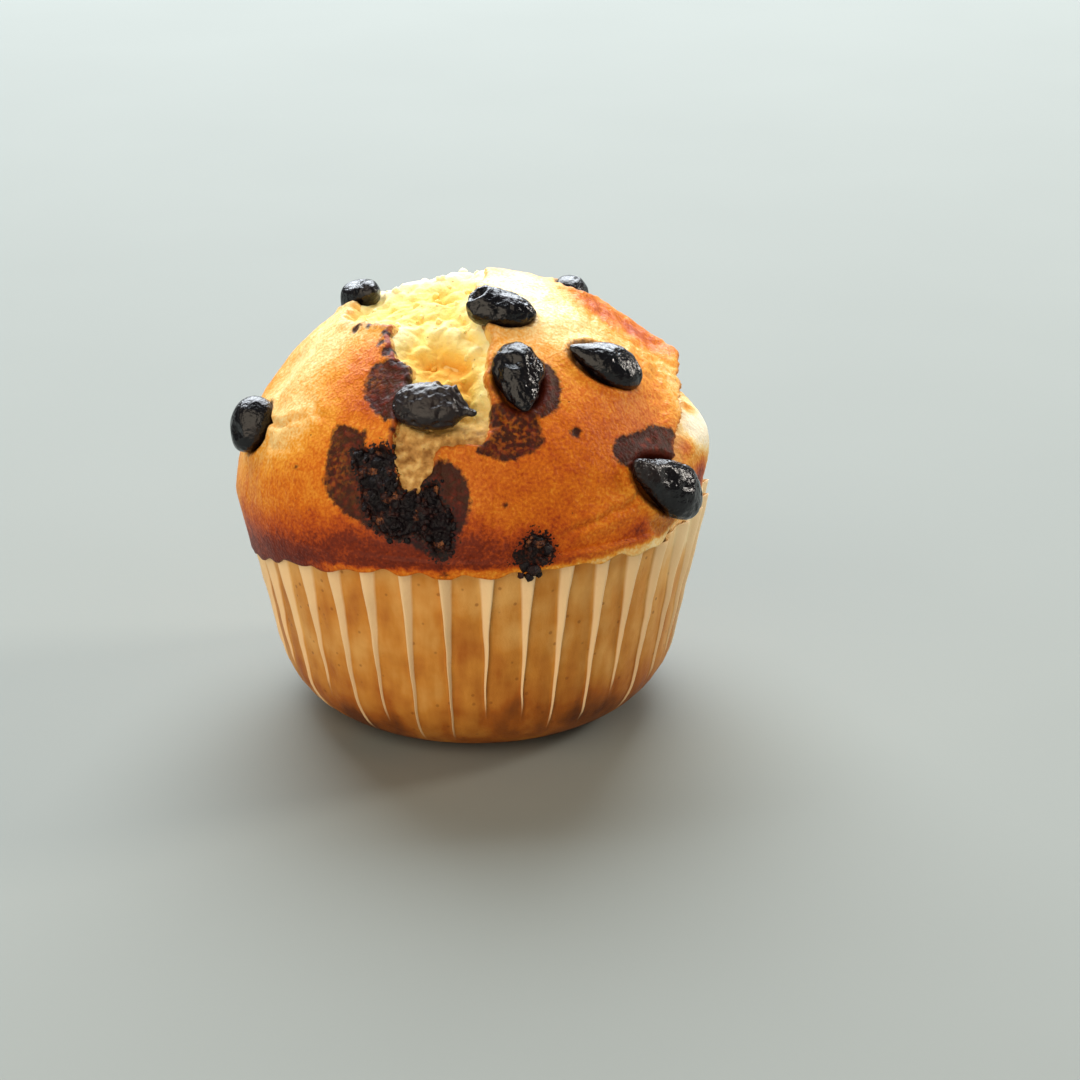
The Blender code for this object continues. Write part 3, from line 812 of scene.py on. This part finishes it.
def crust_surface():
    """The rings of the crust, top to bottom, and what each point holds."""
    azimuth, polar = np.meshgrid(ring_azimuth, np.radians(np.linspace(0.5, 90, DOME_RINGS)))
    smooth = dome_point(azimuth, polar)
    normal = dome_normal(smooth)
    tear = tear_distance(azimuth, polar, smooth)
    stain = lowest_distance(azimuth, polar, smooth, stain_corners, 0.15, 51)
    stain = np.minimum(stain, spot_distance(smooth))
    mottled = 0.8 * near_place(smooth, 11, 56, 4.5) + 0.5 * near_place(smooth, -37, 68, 4.0) + 0.5 * near_place(smooth, -37, 45, 2.5)
    rim = near_place(smooth, -36, 34, 6) + 0.6 * near_place(smooth, -20, 60, 6) + 0.35 * near_place(smooth, 6, 48, 5) + 0.2
    rim = rim * step(8, 1, smooth[..., 1])
    burnt = lowest_distance(azimuth, polar, smooth, burnt_corners, 0.35, 56)
    flap, hollow, flap_rim = flap_relief(azimuth, polar, smooth)
    gap = chip_gap(smooth)
    relief = 0.30 * rough(smooth, 12, 2, 1) + 0.15 * rough(smooth, 3.0, 3, 5) + 0.05 * noise(smooth, 0.8, 9)
    streaks = rough(smooth * np.array([1.0, 0.35, 1.0]), 1.7, 3, 21)
    relief += 0.45 * streaks * near_place(smooth, 92, 38, 12)
    lip = 0.5 * step(44, 30, np.degrees(polar)) * step(-70, -100, np.degrees(azimuth))
    lip = (0.5 - lip) * (0.6 + 0.5 * noise(smooth, 2.2, 23)) * step(5, 20, np.degrees(polar)) * step(11, 3, smooth[..., 1])
    relief += lip * np.exp(-(((tear - 0.6) / 0.9) ** 2))
    relief += flap + crease_relief(azimuth, polar, smooth)
    relief += sum(swell[3] * near_place(smooth, *swell[:3]) for swell in SWELLS)
    relief += 0.50 * (0.5 - cells(smooth, 1.7, 25)[0]) * near_place(smooth, 80, 52, 8)
    relief += 0.40 * np.exp(-(((gap - 0.5) / 0.7) ** 2)) - 1.5 * step(0.0, -1.2, gap)
    relief -= 0.15 * step(0.3, -0.8, stain) + 0.9 * step(0.2, -0.7, burnt) * step(90, 84, np.degrees(polar))
    relief = relief * (1 - step(0.2, -1.2, tear)) - 4.4 * step(0.2, -1.4, tear)
    relief -= 1.1 * tucked(azimuth) * step(74, 90, np.degrees(polar))
    dome = smooth + normal * relief[..., None]

    fall = np.linspace(1 / LIP_RINGS, 1, LIP_RINGS)[:, None]
    edge, widest = crust_edge(ring_azimuth), widest_height(ring_azimuth)
    top_radius = np.hypot(dome[-1, :, 0], dome[-1, :, 1])
    over = wall_radius(edge) + pleat_depth(edge) + 0.45
    edge_radius = over + (wall_radius(edge) - 0.9 - over) * tucked(ring_azimuth)
    degrees = np.degrees(ring_azimuth)
    curl = fall ** (2.4 - 0.9 * spilled(ring_azimuth) - 0.7 * step(-45, -70, degrees) * step(-150, -120, degrees))
    lip_height = dome[-1, :, 2] - fall * (dome[-1, :, 2] - edge)
    lip_radius = top_radius - (top_radius - edge_radius) * curl
    clear = (wall_radius(lip_height) + pleat_depth(lip_height) + 0.4) * (1 - tucked(ring_azimuth))
    lip = placed(ring_azimuth, np.maximum(lip_radius, clear), lip_height)
    under_radius = [edge_radius - 0.35, edge_radius - 1.0, wall_radius(edge, 0.7)]
    under_height = [edge - 0.12, edge + 0.15, edge + 0.3]
    inside = [edge - 1.5, edge * 0.5 + 6] + [np.full(COLUMNS, FOOT_TOP * share) for share in (1, 0.6, 0.3, 0.12)]
    under = placed(ring_azimuth, np.array(under_radius), np.array(under_height))
    wall = placed(ring_azimuth, np.array([wall_radius(z, 0.6) for z in inside]), np.maximum(inside, 0.6))
    points = np.concatenate([dome, lip, under, wall])

    below = len(points) - DOME_RINGS
    extend = lambda values: np.concatenate([values, np.repeat(values[-1:], below, axis=0)])
    around = np.broadcast_to(ring_azimuth, points.shape[:2])
    low_polar = np.radians(90 + 1.7 * np.clip(widest - points[DOME_RINGS:, :, 2], 0, 12))
    low_spots = placed(ring_azimuth, top_radius, points[DOME_RINGS:, :, 2])
    burnt = np.concatenate([burnt, lowest_distance(around[DOME_RINGS:], low_polar, low_spots, burnt_corners, 0.35, 56)])
    rise = points[..., 2] - edge_height(ring_azimuth)
    tone = crust_tone(around, extend(polar), points, rise)
    return points, dict(
        tone=tone, mottled=extend(mottled), rim=extend(rim), tear=np.clip(extend(tear), -4, 6), stain=np.clip(extend(stain), -4, 6),
        burnt=np.clip(burnt, -4, 6), chip=np.clip(extend(gap), -1, 4), rise=rise,
        hollow=extend(hollow), flap_rim=extend(flap_rim),
    )


points, values = crust_surface()
top_point = points[0].mean(axis=0)
crust_piece = grid_mesh("crust", points, crust, first=top_point, last=np.array([0, 0, 0.6]), **values)
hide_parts("cake")
print("crust from", points.min(axis=(0, 1)).round(1), "to", points.max(axis=(0, 1)).round(1), "mm")

# %% [markdown]
# ## The crumb's finish
#
# Inside the tear the cake never browned, so it is cream and egg yellow. Deep places,
# and the lower side of the tear, are painted more orange and darker: painted shade in
# the hollows, and a painted glow of light that has passed through more cake. A little
# light may also soak in and come out again. Bubbles that burst leave small pits, which
# are painted darker as painted shade.

# %% Crumb material
crumb, tree, shader = new_material("crumb", Subsurface_Weight=0.28, Subsurface_Scale=0.0010, Specular_IOR_Level=0.25)
shader.inputs["Subsurface Radius"].default_value = (1.0, 0.65, 0.30)
fine = use(tree, grain, "Fine", Fine=0.35, Coarse=1.4)
coarse = use(tree, grain, "Coarse", Fine=0.35, Coarse=1.4)
# Painted shade and glow: lower places are painted more orange and darker.
deep = calc(tree, "MULTIPLY_ADD", calc(tree, "SUBTRACT", coarse, 0.5), 0.9, held(tree, "deep"))
base = colour_scale(
    tree, calc(tree, "MULTIPLY_ADD", deep, 0.15, 0.06),
    (0.10, colour(255, 244, 204)), (0.32, colour(254, 230, 152)), (0.52, colour(250, 206, 98)), (0.80, colour(234, 160, 46)),
)
tan = colour_scale(tree, coarse, (0.32, colour(146, 98, 44)), (0.50, colour(200, 150, 82)), (0.68, colour(236, 196, 124)))
# The shallow front of the tear is tinted tan: partly its own colour, partly painted shade.
base = tint(tree, held(tree, "front"), base, tan)
# Small pits, painted darker as painted shade in the pits, and sunk by the bump.
shaded_pores = use(tree, flecks, Spacing=1.1, Size=0.17, Share=0.4)
base = tint(tree, calc(tree, "MULTIPLY", shaded_pores, 0.5), base, colour(150, 84, 26))
height = calc(tree, "MULTIPLY_ADD", fine, 0.8, calc(tree, "MULTIPLY", shaded_pores, -0.5))
finish_surface(tree, shader, base, calc(tree, "MULTIPLY_ADD", fine, 0.2, 0.65), height, 0.2)

# %% [markdown]
# ## The crumb in the tear
#
# The crumb is a patch of the same dome, set lower. It starts under the skin on one side
# of the tear and ends under it on the other, so no gap can show. Its lumps are cells of
# two sizes: near the middle of a cell the surface swells, and between cells it sinks.

# %% Build the crumb
HUMPS = (
    (-20, 22, 2.6, 0.9), (-11, 26.5, 2.0, 0.7), (-15, 31, 2.2, -1.3), (-7, 34, 2.0, -1.2),
    (0, 31, 1.5, 0.9), (2.5, 38.5, 1.5, 0.9), (4, 45, 1.4, 0.7), (-60, 14, 3.0, 0.4),
    (-75, 24, 3.0, 0.3), (-16, 62, 1.5, -0.4), (3, 55, 2.0, 0.3),
)


def patch_grid(corners, margin, spacing):
    """A square grid on the map that covers an outline: its azimuths and polar angles."""
    low, high = corners.min(axis=0) - margin, corners.max(axis=0) + margin
    x, y = (np.arange(low[k], high[k], spacing) for k in (0, 1))
    return from_map(np.stack(np.meshgrid(x, y[::-1]), axis=-1))


def crumb_relief(azimuth, polar, smooth):
    """Height of the crumb above the dome: a depth that grows inwards from the tear's
    edge, less at the front, plus lumps, humps and hollows. Also the tear's distance and
    how much a place belongs to the shallow front."""
    tear = tear_distance(azimuth, polar, smooth)
    front = step(44, 58, np.degrees(polar)) * step(60, 40, np.abs(np.degrees(azimuth)))
    inward = np.clip(-tear, 0, None)
    back = step(1, 10, smooth[..., 1])
    depth = (0.9 - 0.3 * front - 0.3 * back) + (2.4 - 1.9 * front - 1.9 * back) * (1 - np.exp(-inward / 2.0))
    moved = smooth + np.stack([0.7 * noise(smooth, 1.6, seed) for seed in (95, 96, 97)], axis=-1)
    large, small = cells(moved, 3.4, 101)[0], cells(moved, 1.5, 111)[0]
    lumps = (0.35 - large**2) * (1.5 - 0.9 * front) + (0.3 - small**2) * 0.40
    lumps = lumps + (0.16 + 0.12 * front) * rough(smooth, 1.3, 3, 121)
    humps = sum(hump[3] * near_place(smooth, *hump[:3]) for hump in HUMPS)
    gap = chip_gap(smooth)
    relief = -depth + lumps * step(0.8, -0.8, tear) + humps - 1.3 * step(-0.2, 0.9, tear) - 0.6 * step(0.2, -0.8, gap)
    return relief, tear, front


def crumb_depth(relief, polar):
    """How much painted shade and glow: the depth below the dome, and more down the side."""
    return np.clip(-relief - 0.3 + 1.3 * step(26, 38, np.degrees(polar)), 0, 5)


azimuth, polar = patch_grid(tear_corners, 2.0, 0.26)
smooth = dome_point(azimuth, polar)
relief, tear, front = crumb_relief(azimuth, polar, smooth)
points = smooth + dome_normal(smooth) * relief[..., None]
crumb_piece = grid_mesh("crumb", points, crumb, around=False, keep=tear < 1.2, deep=crumb_depth(relief, polar), front=front)
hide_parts("cake")

# %% [markdown]
# ## Burnt crumbs
#
# Where a chip melted right through, sugar and chocolate boiled to a black, crumbly
# mass with small glints. It is another patch, with a finer grid, sharper cells, and a
# colour that jumps between black and dark brown from crumb to crumb.

# %% Burnt crumb material and patches
burnt_crumb, tree, shader = new_material("burnt crumbs", Specular_IOR_Level=0.3)
fine = use(tree, grain, "Fine", Fine=0.25, Coarse=1.0)
kind = calc(tree, "MULTIPLY_ADD", calc(tree, "SUBTRACT", fine, 0.5), 0.6, held(tree, "kind"))
base = colour_scale(
    tree, kind,
    (0.00, colour(10, 5, 10)), (0.55, colour(20, 8, 14)), (0.76, colour(54, 22, 18)), (0.95, colour(140, 84, 48)),
)
finish_surface(tree, shader, base, calc(tree, "MULTIPLY_ADD", fine, 0.4, 0.22), fine, 0.25)


def burnt_surface(corners, seed):
    """A patch with crumbs of 1.3 and 0.6 mm: each swells at its middle, and the patch
    dives under the crust at its outline."""
    azimuth, polar = patch_grid(corners, 2.0, 0.2)
    smooth = dome_point(azimuth, polar)
    spot, stretch = to_map(azimuth, polar)
    spot = spot + shaken(smooth, 0.35, 56) * stretch[..., None]
    distance = outline_distance(spot, stretch, corners)
    large, large_next, kind = cells(smooth, 1.4, seed)
    small, _, small_kind = cells(smooth, 0.6, seed + 7)
    relief = -0.25 + (0.5 - large) * 1.5 + (0.5 - small) * 0.55 - 1.1 * step(-0.3, 0.5, distance)
    points = smooth + dome_normal(smooth) * relief[..., None]
    return points, distance < 0.5, dict(kind=0.75 * kind + 0.25 * small_kind)


for number, corners in enumerate(burnt_corners, start=1):
    points, keep, values = burnt_surface(corners, 130 + number)
    piece = grid_mesh(f"burnt_crumbs_{number}", points, burnt_crumb, around=False, keep=keep, **values)
    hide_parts("cake")

# %% [markdown]
# ## Loose crumbs
#
# Torn cake sheds small lumps. Each is a ball of a few dozen faces, pushed in and out by
# noise, and all lumps of one kind are one mesh. Their places are random spots on the
# map, of which only those inside an outline are kept. The random numbers start from a
# fixed seed, so every run scatters them in the same way.

# %% Scatter crumbs
def lumps_mesh(name, middles, sizes, material, seed, **values):
    """One mesh of many balls: a ring grid of directions, times each ball's size and a
    noise factor, added to its middle. The poles are single points."""
    rings, sides = 5, 8
    slope, around = np.meshgrid(np.pi * np.arange(1, rings + 1) / (rings + 1), 2 * np.pi * np.arange(sides) / sides, indexing="ij")
    ball = np.stack([np.sin(slope) * np.cos(around), np.sin(slope) * np.sin(around), np.cos(slope)], -1).reshape(-1, 3)
    ball = np.vstack([ball, [[0, 0, 1], [0, 0, -1]]])
    at = middles[:, None] * 7 + ball
    form = 1 + 0.45 * noise(at, 0.9, seed) + 0.2 * noise(at, 0.4, seed + 1)
    points = middles[:, None] + ball * form[..., None] * sizes[:, None, None]
    index = np.arange(rings * sides).reshape(rings, sides)
    right = np.roll(index, -1, axis=1)
    quads = np.stack([index[:-1], index[1:], right[1:], right[:-1]], -1).reshape(-1, 4)
    top = np.stack([np.full(sides, rings * sides), index[0], right[0]], -1)
    bottom = np.stack([np.full(sides, rings * sides + 1), right[-1], index[-1]], -1)
    start = np.arange(len(middles))[:, None, None] * len(ball)
    faces = [face for part in (quads, top, bottom) for face in (part + start).reshape(-1, part.shape[1]).tolist()]
    mesh = bpy.data.meshes.new(name)
    mesh.from_pydata((points.reshape(-1, 3) * MM).tolist(), [], faces)
    for label, value in values.items():
        attribute = mesh.attributes.new(label, "FLOAT", "POINT")
        attribute.data.foreach_set("value", np.repeat(value, len(ball)).astype(np.float32))
    mesh.polygons.foreach_set("use_smooth", np.ones(len(mesh.polygons), bool))
    made = bpy.data.objects.new(name, mesh)
    bpy.context.scene.collection.objects.link(made)
    mesh.materials.append(material)
    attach(made, "root")
    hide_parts("cake")
    print(f"{name}: {len(middles)} lumps")
    return made


def random_places(corners, count, deepest, random):
    """Up to count random places inside an outline, as azimuths and polar angles."""
    spot = random.uniform(corners.min(axis=0), corners.max(axis=0), (count * 6, 2))
    azimuth, polar = from_map(spot)
    inside = outline_distance(spot, to_map(azimuth, polar)[1], corners) < deepest
    return azimuth[inside][:count], polar[inside][:count]


random = np.random.default_rng(7)
azimuth, polar = random_places(tear_corners, 60, -0.5, random)
smooth = dome_point(azimuth, polar)
relief, tear, front = crumb_relief(azimuth, polar, smooth)
size = random.uniform(0.25, 0.70, len(azimuth)) * (1 - 0.6 * front)
middles = smooth + dome_normal(smooth) * (relief + 0.1 * size)[:, None]
piece = lumps_mesh("loose_crumbs", middles, size, crumb, 400, deep=crumb_depth(relief + 0.6, polar), front=front)

azimuth, polar = random_places(burnt_corners[0], 80, 0.7, random)
smooth = dome_point(azimuth, polar)
size = random.uniform(0.15, 0.45, len(azimuth))
# a few larger lumps hang from the lower end of the small burnt patch: azimuth, height, size
HANGING = np.array([(12.0, 33.4, 1.0), (14.5, 33.0, 1.1), (16.5, 34.0, 0.9), (13.5, 31.9, 0.8), (11.5, 32.2, 0.6), (15.5, 32.2, 0.6), (17.5, 35.5, 0.7)])
hung = placed(np.radians(HANGING[:, 0]), 34.5, HANGING[:, 1])
middles = np.vstack([smooth - dome_normal(smooth) * 0.10, hung])
size = np.append(size, 0.9 * HANGING[:, 2])
piece = lumps_mesh("burnt_lumps", middles, size, burnt_crumb, 410, kind=random.uniform(0.1, 0.75, len(middles)))

# %% [markdown]
# ## Chocolate
#
# Dark chocolate that melted and set again has a skin: glossy where it stayed smooth,
# dull and greyish brown where the fat came out. The attribute dull says which, and
# fine noise breaks up the gloss into many small highlights.

# %% Chocolate material
chocolate, tree, shader = new_material("chocolate", Specular_IOR_Level=0.45, IOR=1.5)
fine = use(tree, grain, "Fine", Fine=0.5, Coarse=2.0)
coarse = use(tree, grain, "Coarse", Fine=0.5, Coarse=2.0)
dull = calc(tree, "MULTIPLY_ADD", calc(tree, "SUBTRACT", coarse, 0.5), 0.9, held(tree, "dull"))
dull = fade(tree, dull, 0.0, 1.0)
base = tint(tree, dull, colour(5, 4, 9), colour(36, 25, 24))
roughness = calc(tree, "MULTIPLY_ADD", dull, 0.25, calc(tree, "MULTIPLY_ADD", fine, 0.14, 0.10))
finish_surface(tree, shader, base, roughness, calc(tree, "MULTIPLY_ADD", coarse, 0.8, fine), 0.13)

# %% [markdown]
# ## The chips
#
# A chip is a ball stretched along its length, which narrows to a tip at one end, as a
# drop does. Wrinkles are ridged noise: soft noise folded at zero, which makes creases.
# Dents are short lists of a direction from the middle, a width and a depth.

# %% Build the chips
# name: wrinkle depth, wrinkle size, pit depth, dullness, tail, narrowing, its power, dents
CHIP_LOOKS = {
    "chip_01": (0.22, 1.8, 0.15, 0.05, 0.0, 0.20, 1.6, ((-0.80, 0.15, 0.60, 1.2, 2.0), (-0.35, 0.5, 0.8, 0.6, 0.4))),
    "chip_02": (0.26, 1.6, 0.20, 0.08, 0.0, 0.62, 1.2, ((-0.2, -0.3, 1.0, 0.9, 0.4),)),
    "chip_03": (0.26, 1.2, 0.26, 0.60, 1.0, 0.30, 1.6, ((0.25, 0.9, 0.5, 0.9, 1.7), (0.60, 0.7, 0.6, 0.7, 0.9))),
    "chip_04": (0.16, 2.2, 0.08, 0.05, 0.0, 0.58, 1.1, ((-0.9, -0.4, 0.3, 1.2, 0.5),)),
    "chip_05": (0.16, 2.1, 0.15, 0.05, 0.0, 0.52, 0.9, ((0.30, 0.0, 0.9, 1.3, 0.5),)),
    "chip_06": (0.08, 2.8, 0.05, 0.12, 0.0, 0.20, 1.4, ((0.5, 0.3, 0.8, 1.0, 0.3),)),
    "chip_07": (0.12, 2.0, 0.08, 0.05, 0.0, 0.40, 1.4, ((0.2, 0.0, 1.0, 1.6, 0.5),)),
    "chip_08": (0.15, 2.0, 0.08, 0.05, 0.0, 0.40, 1.4, ()),
}
USUAL_LOOK = (0.24, 1.7, 0.16, 0.20, 0.0, 0.52, 1.4, ((0.4, 0.4, 0.8, 0.9, 0.5),))


def chip_surface(name, seed):
    """The drop: on a ball, x along the length, and y and z times a width that shrinks
    towards the tip. The relief moves each point straight out of that smooth form."""
    middle, axes, size = chip_places[name]
    wrinkle, wrinkle_size, pit, dull, tail, shrink, power, dents = CHIP_LOOKS.get(name, USUAL_LOOK)
    slope, around = np.meshgrid(np.linspace(0, np.pi, 74)[1:-1], np.linspace(0, 2 * np.pi, 96, endpoint=False), indexing="ij")
    full = np.sin(slope) ** 0.82
    x, y, z = np.cos(slope), full * np.cos(around), full * np.sin(around)
    narrow = 1 - shrink * np.clip((x + 0.35) / 1.35, 0, None) ** power
    narrow = narrow * (1 - 0.45 * tail * step(0.45, 0.75, x))
    local = np.stack([x, y * narrow - 0.25 * tail * step(0.5, 1.0, x), z * narrow], -1) * size / 2
    outward = np.stack([x / size[0], y / size[1], z / size[2]], -1)
    outward /= np.linalg.norm(outward, axis=-1, keepdims=True)
    shifted = local + seed * 17.0
    ridged = 1 - 2.2 * np.abs(noise(shifted * np.array([0.7, 1, 1]), wrinkle_size, seed)) - 0.8 * np.abs(noise(shifted, wrinkle_size / 2.3, seed + 1))
    near, _, _ = cells(shifted, 1.3, seed + 2)
    relief = 0.25 * noise(shifted, 3.4, seed + 3) + wrinkle * 0.55 * (ridged - 0.4) - pit * step(0.42, 0.15, near)
    for dx, dy, dz, width, depth in dents:
        spot = np.array([dx, dy, dz]) / np.linalg.norm([dx, dy, dz]) * size / 2
        away = np.linalg.norm(local - spot, axis=-1)
        relief -= depth * np.exp(-((away / width) ** 2)) - 0.25 * depth * np.exp(-(((away - 1.5 * width) / (0.5 * width)) ** 2))
    local = local + outward * relief[..., None] * np.clip(np.sin(slope) * 3, 0.3, 1)[..., None]
    dullness = dull + 0.25 * noise(shifted, 2.5, seed + 4) + (0.5 * step(0.0, 0.6, x) if name == "chip_05" else 0)
    return middle + local @ axes, dullness


for number, name in enumerate(chip_nodes, start=1):
    points, dullness = chip_surface(name, 200 + 10 * number)
    piece = grid_mesh(f"chocolate_{name}", points, chocolate, first=points[0].mean(axis=0), last=points[-1].mean(axis=0), dull=dullness)
    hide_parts(name)

# %% [markdown]
# ## Paper
#
# Baking paper is thin and cream coloured. Where it clings to the cake it has soaked up
# butter, turns amber, and shows the brown behind it. Inside a pleat it is doubled and
# stands away from the cake, so it stays pale. Small brown specks are crumbs seen
# through it.

# %% Paper material
paper, tree, shader = new_material("paper", Specular_IOR_Level=0.35, IOR=1.4)
where = add(tree, "TexCoord").outputs["Object"]
stretched = add(tree, "Mapping", {"Vector": where, "Scale": (1.0, 1.0, 0.22)}).outputs[0]
streaks = add(tree, "TexNoise", {"Vector": stretched, "Scale": 330.0, "Detail": 3.0}).outputs[0]
fine = use(tree, grain, "Fine", Fine=0.35, Coarse=5.0)
coarse = use(tree, grain, "Coarse", Fine=0.35, Coarse=5.0)
soak = calc(tree, "MULTIPLY_ADD", calc(tree, "SUBTRACT", streaks, 0.5), 0.6, held(tree, "soak"))
soak = calc(tree, "MULTIPLY_ADD", calc(tree, "SUBTRACT", coarse, 0.5), 0.5, soak)
base = colour_scale(
    tree, soak,
    (0.00, colour(250, 222, 170)), (0.30, colour(232, 176, 98)), (0.55, colour(208, 138, 54)),
    (0.76, colour(176, 98, 30)), (1.00, colour(112, 60, 26)),
)
specks = use(tree, flecks, Spacing=1.8, Size=0.36, Share=0.5)
specks = calc(tree, "MULTIPLY", specks, calc(tree, "SUBTRACT", 1.0, held(tree, "pleat")))
base = tint(tree, calc(tree, "MULTIPLY", specks, 0.55), base, colour(140, 76, 26))
base = tint(tree, calc(tree, "MULTIPLY", held(tree, "pleat"), 0.85), base, colour(255, 222, 172))
finish_surface(tree, shader, base, calc(tree, "MULTIPLY_ADD", fine, 0.2, 0.42), calc(tree, "MULTIPLY_ADD", coarse, 0.5, fine), 0.06)

# %% [markdown]
# ## The paper case
#
# The case is one sheet pressed into a cup, so the spare paper gathers in 37 pleats that
# are widest at the rim and run out above the foot. The grid follows them: 8 columns
# across each pleat and 8 across each panel, and a pleat's columns come closer together
# as it narrows. Each fold lies over to one side: a slow rise, then a sharp edge.

# %% Build the case
PLEATS, FIRST_PLEAT = 37, np.radians(-6.1)
FOLD_PLACES = np.array([-1.0, -0.62, -0.25, 0.1, 0.42, 0.7, 0.88, 1.0])
FOLD_HEIGHTS = np.array([0.0, 0.30, 0.56, 0.76, 0.92, 1.0, 0.9, 0.0])


def case_top(azimuth):
    """Height of the paper's rim: under the crust's lip, or free on the right."""
    inside = tucked(azimuth)
    under = crust_edge(azimuth) + 0.7 - 1.0 * step(0, 0.25, inside)
    free = 32.5 + 0.25 * np.cos(PLEATS * (azimuth - FIRST_PLEAT))
    return under + (free - under) * step(0.35, 1, inside)


def case_surface():
    """Rings from the rim down the wall, round the foot and in to the middle. A pleat's
    middle line leans and wanders a little, and its height and width shrink to its end."""
    crest = FIRST_PLEAT + 2 * np.pi / PLEATS * (np.arange(PLEATS) - 18)
    shares = np.linspace(1, 0, 38)[:, None]
    foot_angle = np.linspace(SLANT, np.pi / 2, 15)[1:, None]
    level = np.concatenate([FOOT_TOP + (EDGE - FOOT_TOP) * shares, FOOT_ROUND * (1 - np.sin(foot_angle))])
    luck = scatter(np.stack([np.arange(PLEATS)] * 3, -1), 300), scatter(np.stack([np.arange(PLEATS)] * 3, -1), 301)
    end = 3.0 + 7.0 * luck[0]
    wander = 0.30 * noise(np.stack(np.broadcast_arrays(crest * 50, level, 0 * level + 5), -1), 4.0, 310)
    centre = crest + (np.radians(1.6) * (luck[1] - 0.5) * (1 - level / EDGE)) + wander / 33 * np.clip(1 - level / EDGE, 0, 1)
    grow = np.clip((level - end) / (EDGE - end), 0, 1)
    half = (0.13 + (0.85 + 0.3 * luck[0]) * grow**2.0) / wall_radius(np.clip(level, 1.5, None))
    tall = (0.20 * step(end - 1.5, end + 1, level) + 0.85 * grow)[..., None]
    right = np.sin(crest)[:, None] > 0
    places = np.where(right, FOLD_PLACES, -FOLD_PLACES[::-1])
    heights = np.where(right, FOLD_HEIGHTS, FOLD_HEIGHTS[::-1])
    fold = centre[..., None] + half[..., None] * places
    following = np.roll(fold[..., 0], -1, axis=1) + 2 * np.pi * (np.arange(PLEATS) == PLEATS - 1)
    panel = fold[..., -1:] + (following - fold[..., -1])[..., None] * (np.arange(1, 9) / 9)
    azimuth = np.concatenate([fold, panel], -1).reshape(len(level), -1)
    out = np.concatenate([tall * heights, 0 * panel], -1).reshape(len(level), -1)
    pleat = np.concatenate([step(0.02, 0.25, heights) + 0 * fold, 0 * panel], -1).reshape(len(level), -1)
    pleat *= np.repeat(step(end - 1.5, end + 2.0, level), 16, axis=1)
    bulge = np.concatenate([0 * fold, np.sin(np.pi * np.arange(1, 9) / 9) + 0 * panel], -1).reshape(len(level), -1)

    wall_rows = len(shares)
    z = np.repeat(level, azimuth.shape[1], axis=1)
    z[:wall_rows] = FOOT_TOP + (case_top(azimuth[:wall_rows]) - FOOT_TOP) * shares
    radius = wall_radius(z)
    radius[wall_rows:] = FLAT + FOOT_ROUND * np.cos(foot_angle)
    skin = placed(azimuth, radius, z)
    soft = 0.16 * noise(skin, 6, 320) + 0.06 * noise(skin, 2, 321) + 0.05 * noise(skin * np.array([1, 1, 0.2]), 0.9, 322)
    upright = step(0.5, 8, z)
    radius = radius + out + (0.16 * bulge - 0.10 + soft) * upright
    points = placed(azimuth, radius, z)
    flat = placed(azimuth[-1:], FLAT * np.linspace(0.84, 0.12, 6)[:, None], 0.0)
    stack = lambda values: np.concatenate([values, np.repeat(values[-1:], 6, axis=0)])
    return np.concatenate([points, flat]), stack(pleat), stack(z)


points, pleat, height = case_surface()
around = np.arctan2(points[..., 0], -points[..., 1])
soak = 0.54 + 0.16 * step(20, 3, height) + 0.10 * noise(points, 7, 330) - 0.40 * tucked(around) * step(16, 28, height) - 0.12 * step(22, 32, height)
for low_azimuth in (-38, 38):  # two butter stains near the foot
    away = np.hypot((np.degrees(around) - low_azimuth) / 14, (height - 3.5) / 4.5)
    soak = soak + 0.32 * np.exp(-away**2)
paper_piece = grid_mesh("paper_cup", points, paper, last=np.array([0, 0, 0.0]), pleat=pleat, soak=soak)
sheet = paper_piece.modifiers.new("thickness", "SOLIDIFY")
sheet.thickness, sheet.offset = 0.12 * MM, -1.0
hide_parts("paper_case")

# %% [markdown]
# ## Floor and light
#
# A plain pale floor. The main light is a wide, cool window behind and above, which
# whitens the top of the dome and draws blue highlights on the chocolate. A weak warm
# light from the front left keeps the near side from going black, and a third light from
# the right brings out the hollow behind the flap.

# %% Floor and lights
def add_floor(half, shade):
    """A flat square at height 0."""
    mesh = bpy.data.meshes.new("floor")
    mesh.from_pydata([(-half, -half, 0), (half, -half, 0), (half, half, 0), (-half, half, 0)], [], [(0, 1, 2, 3)])
    floor = bpy.data.objects.new("floor", mesh)
    bpy.context.scene.collection.objects.link(floor)
    material, tree, shader = new_material("floor", Roughness=0.8, Specular_IOR_Level=0.2)
    patches = noise_node(tree, 60.0, 2.0)
    tree.links.new(tint(tree, patches, shade, tuple(0.94 * v for v in shade[:3]) + (1,)), shader.inputs["Base Color"])
    mesh.materials.append(material)


def add_light(name, place, size, watts, shade):
    """A square area light that faces the middle of the muffin."""
    lamp = bpy.data.lights.new(name, "AREA")
    lamp.shape, lamp.size, lamp.energy, lamp.color = "SQUARE", size, watts, shade
    made = bpy.data.objects.new(name, lamp)
    bpy.context.scene.collection.objects.link(made)
    made.location = place
    facing = Vector((0, 0, 0.035)) - Vector(place)
    made.rotation_euler = facing.to_track_quat("-Z", "Y").to_euler()


add_floor(4.0, colour(138, 142, 137))
add_light("window", (-0.10, 1.00, 0.95), 1.45, 57.0, (0.88, 0.94, 1.0))
add_light("side", (0.95, 0.30, 0.50), 0.22, 5.5, (1.0, 0.93, 0.84))
add_light("room", (-0.40, -0.80, 0.42), 1.40, 11.5, (1.0, 0.86, 0.68))
world = bpy.data.worlds.new("air")
bpy.context.scene.world = world
world.use_nodes = True
world.node_tree.nodes["Background"].inputs[0].default_value = (0.93, 0.91, 0.87, 1)
world.node_tree.nodes["Background"].inputs[1].default_value = 0.16
bpy.context.scene.view_settings.view_transform = "Standard"
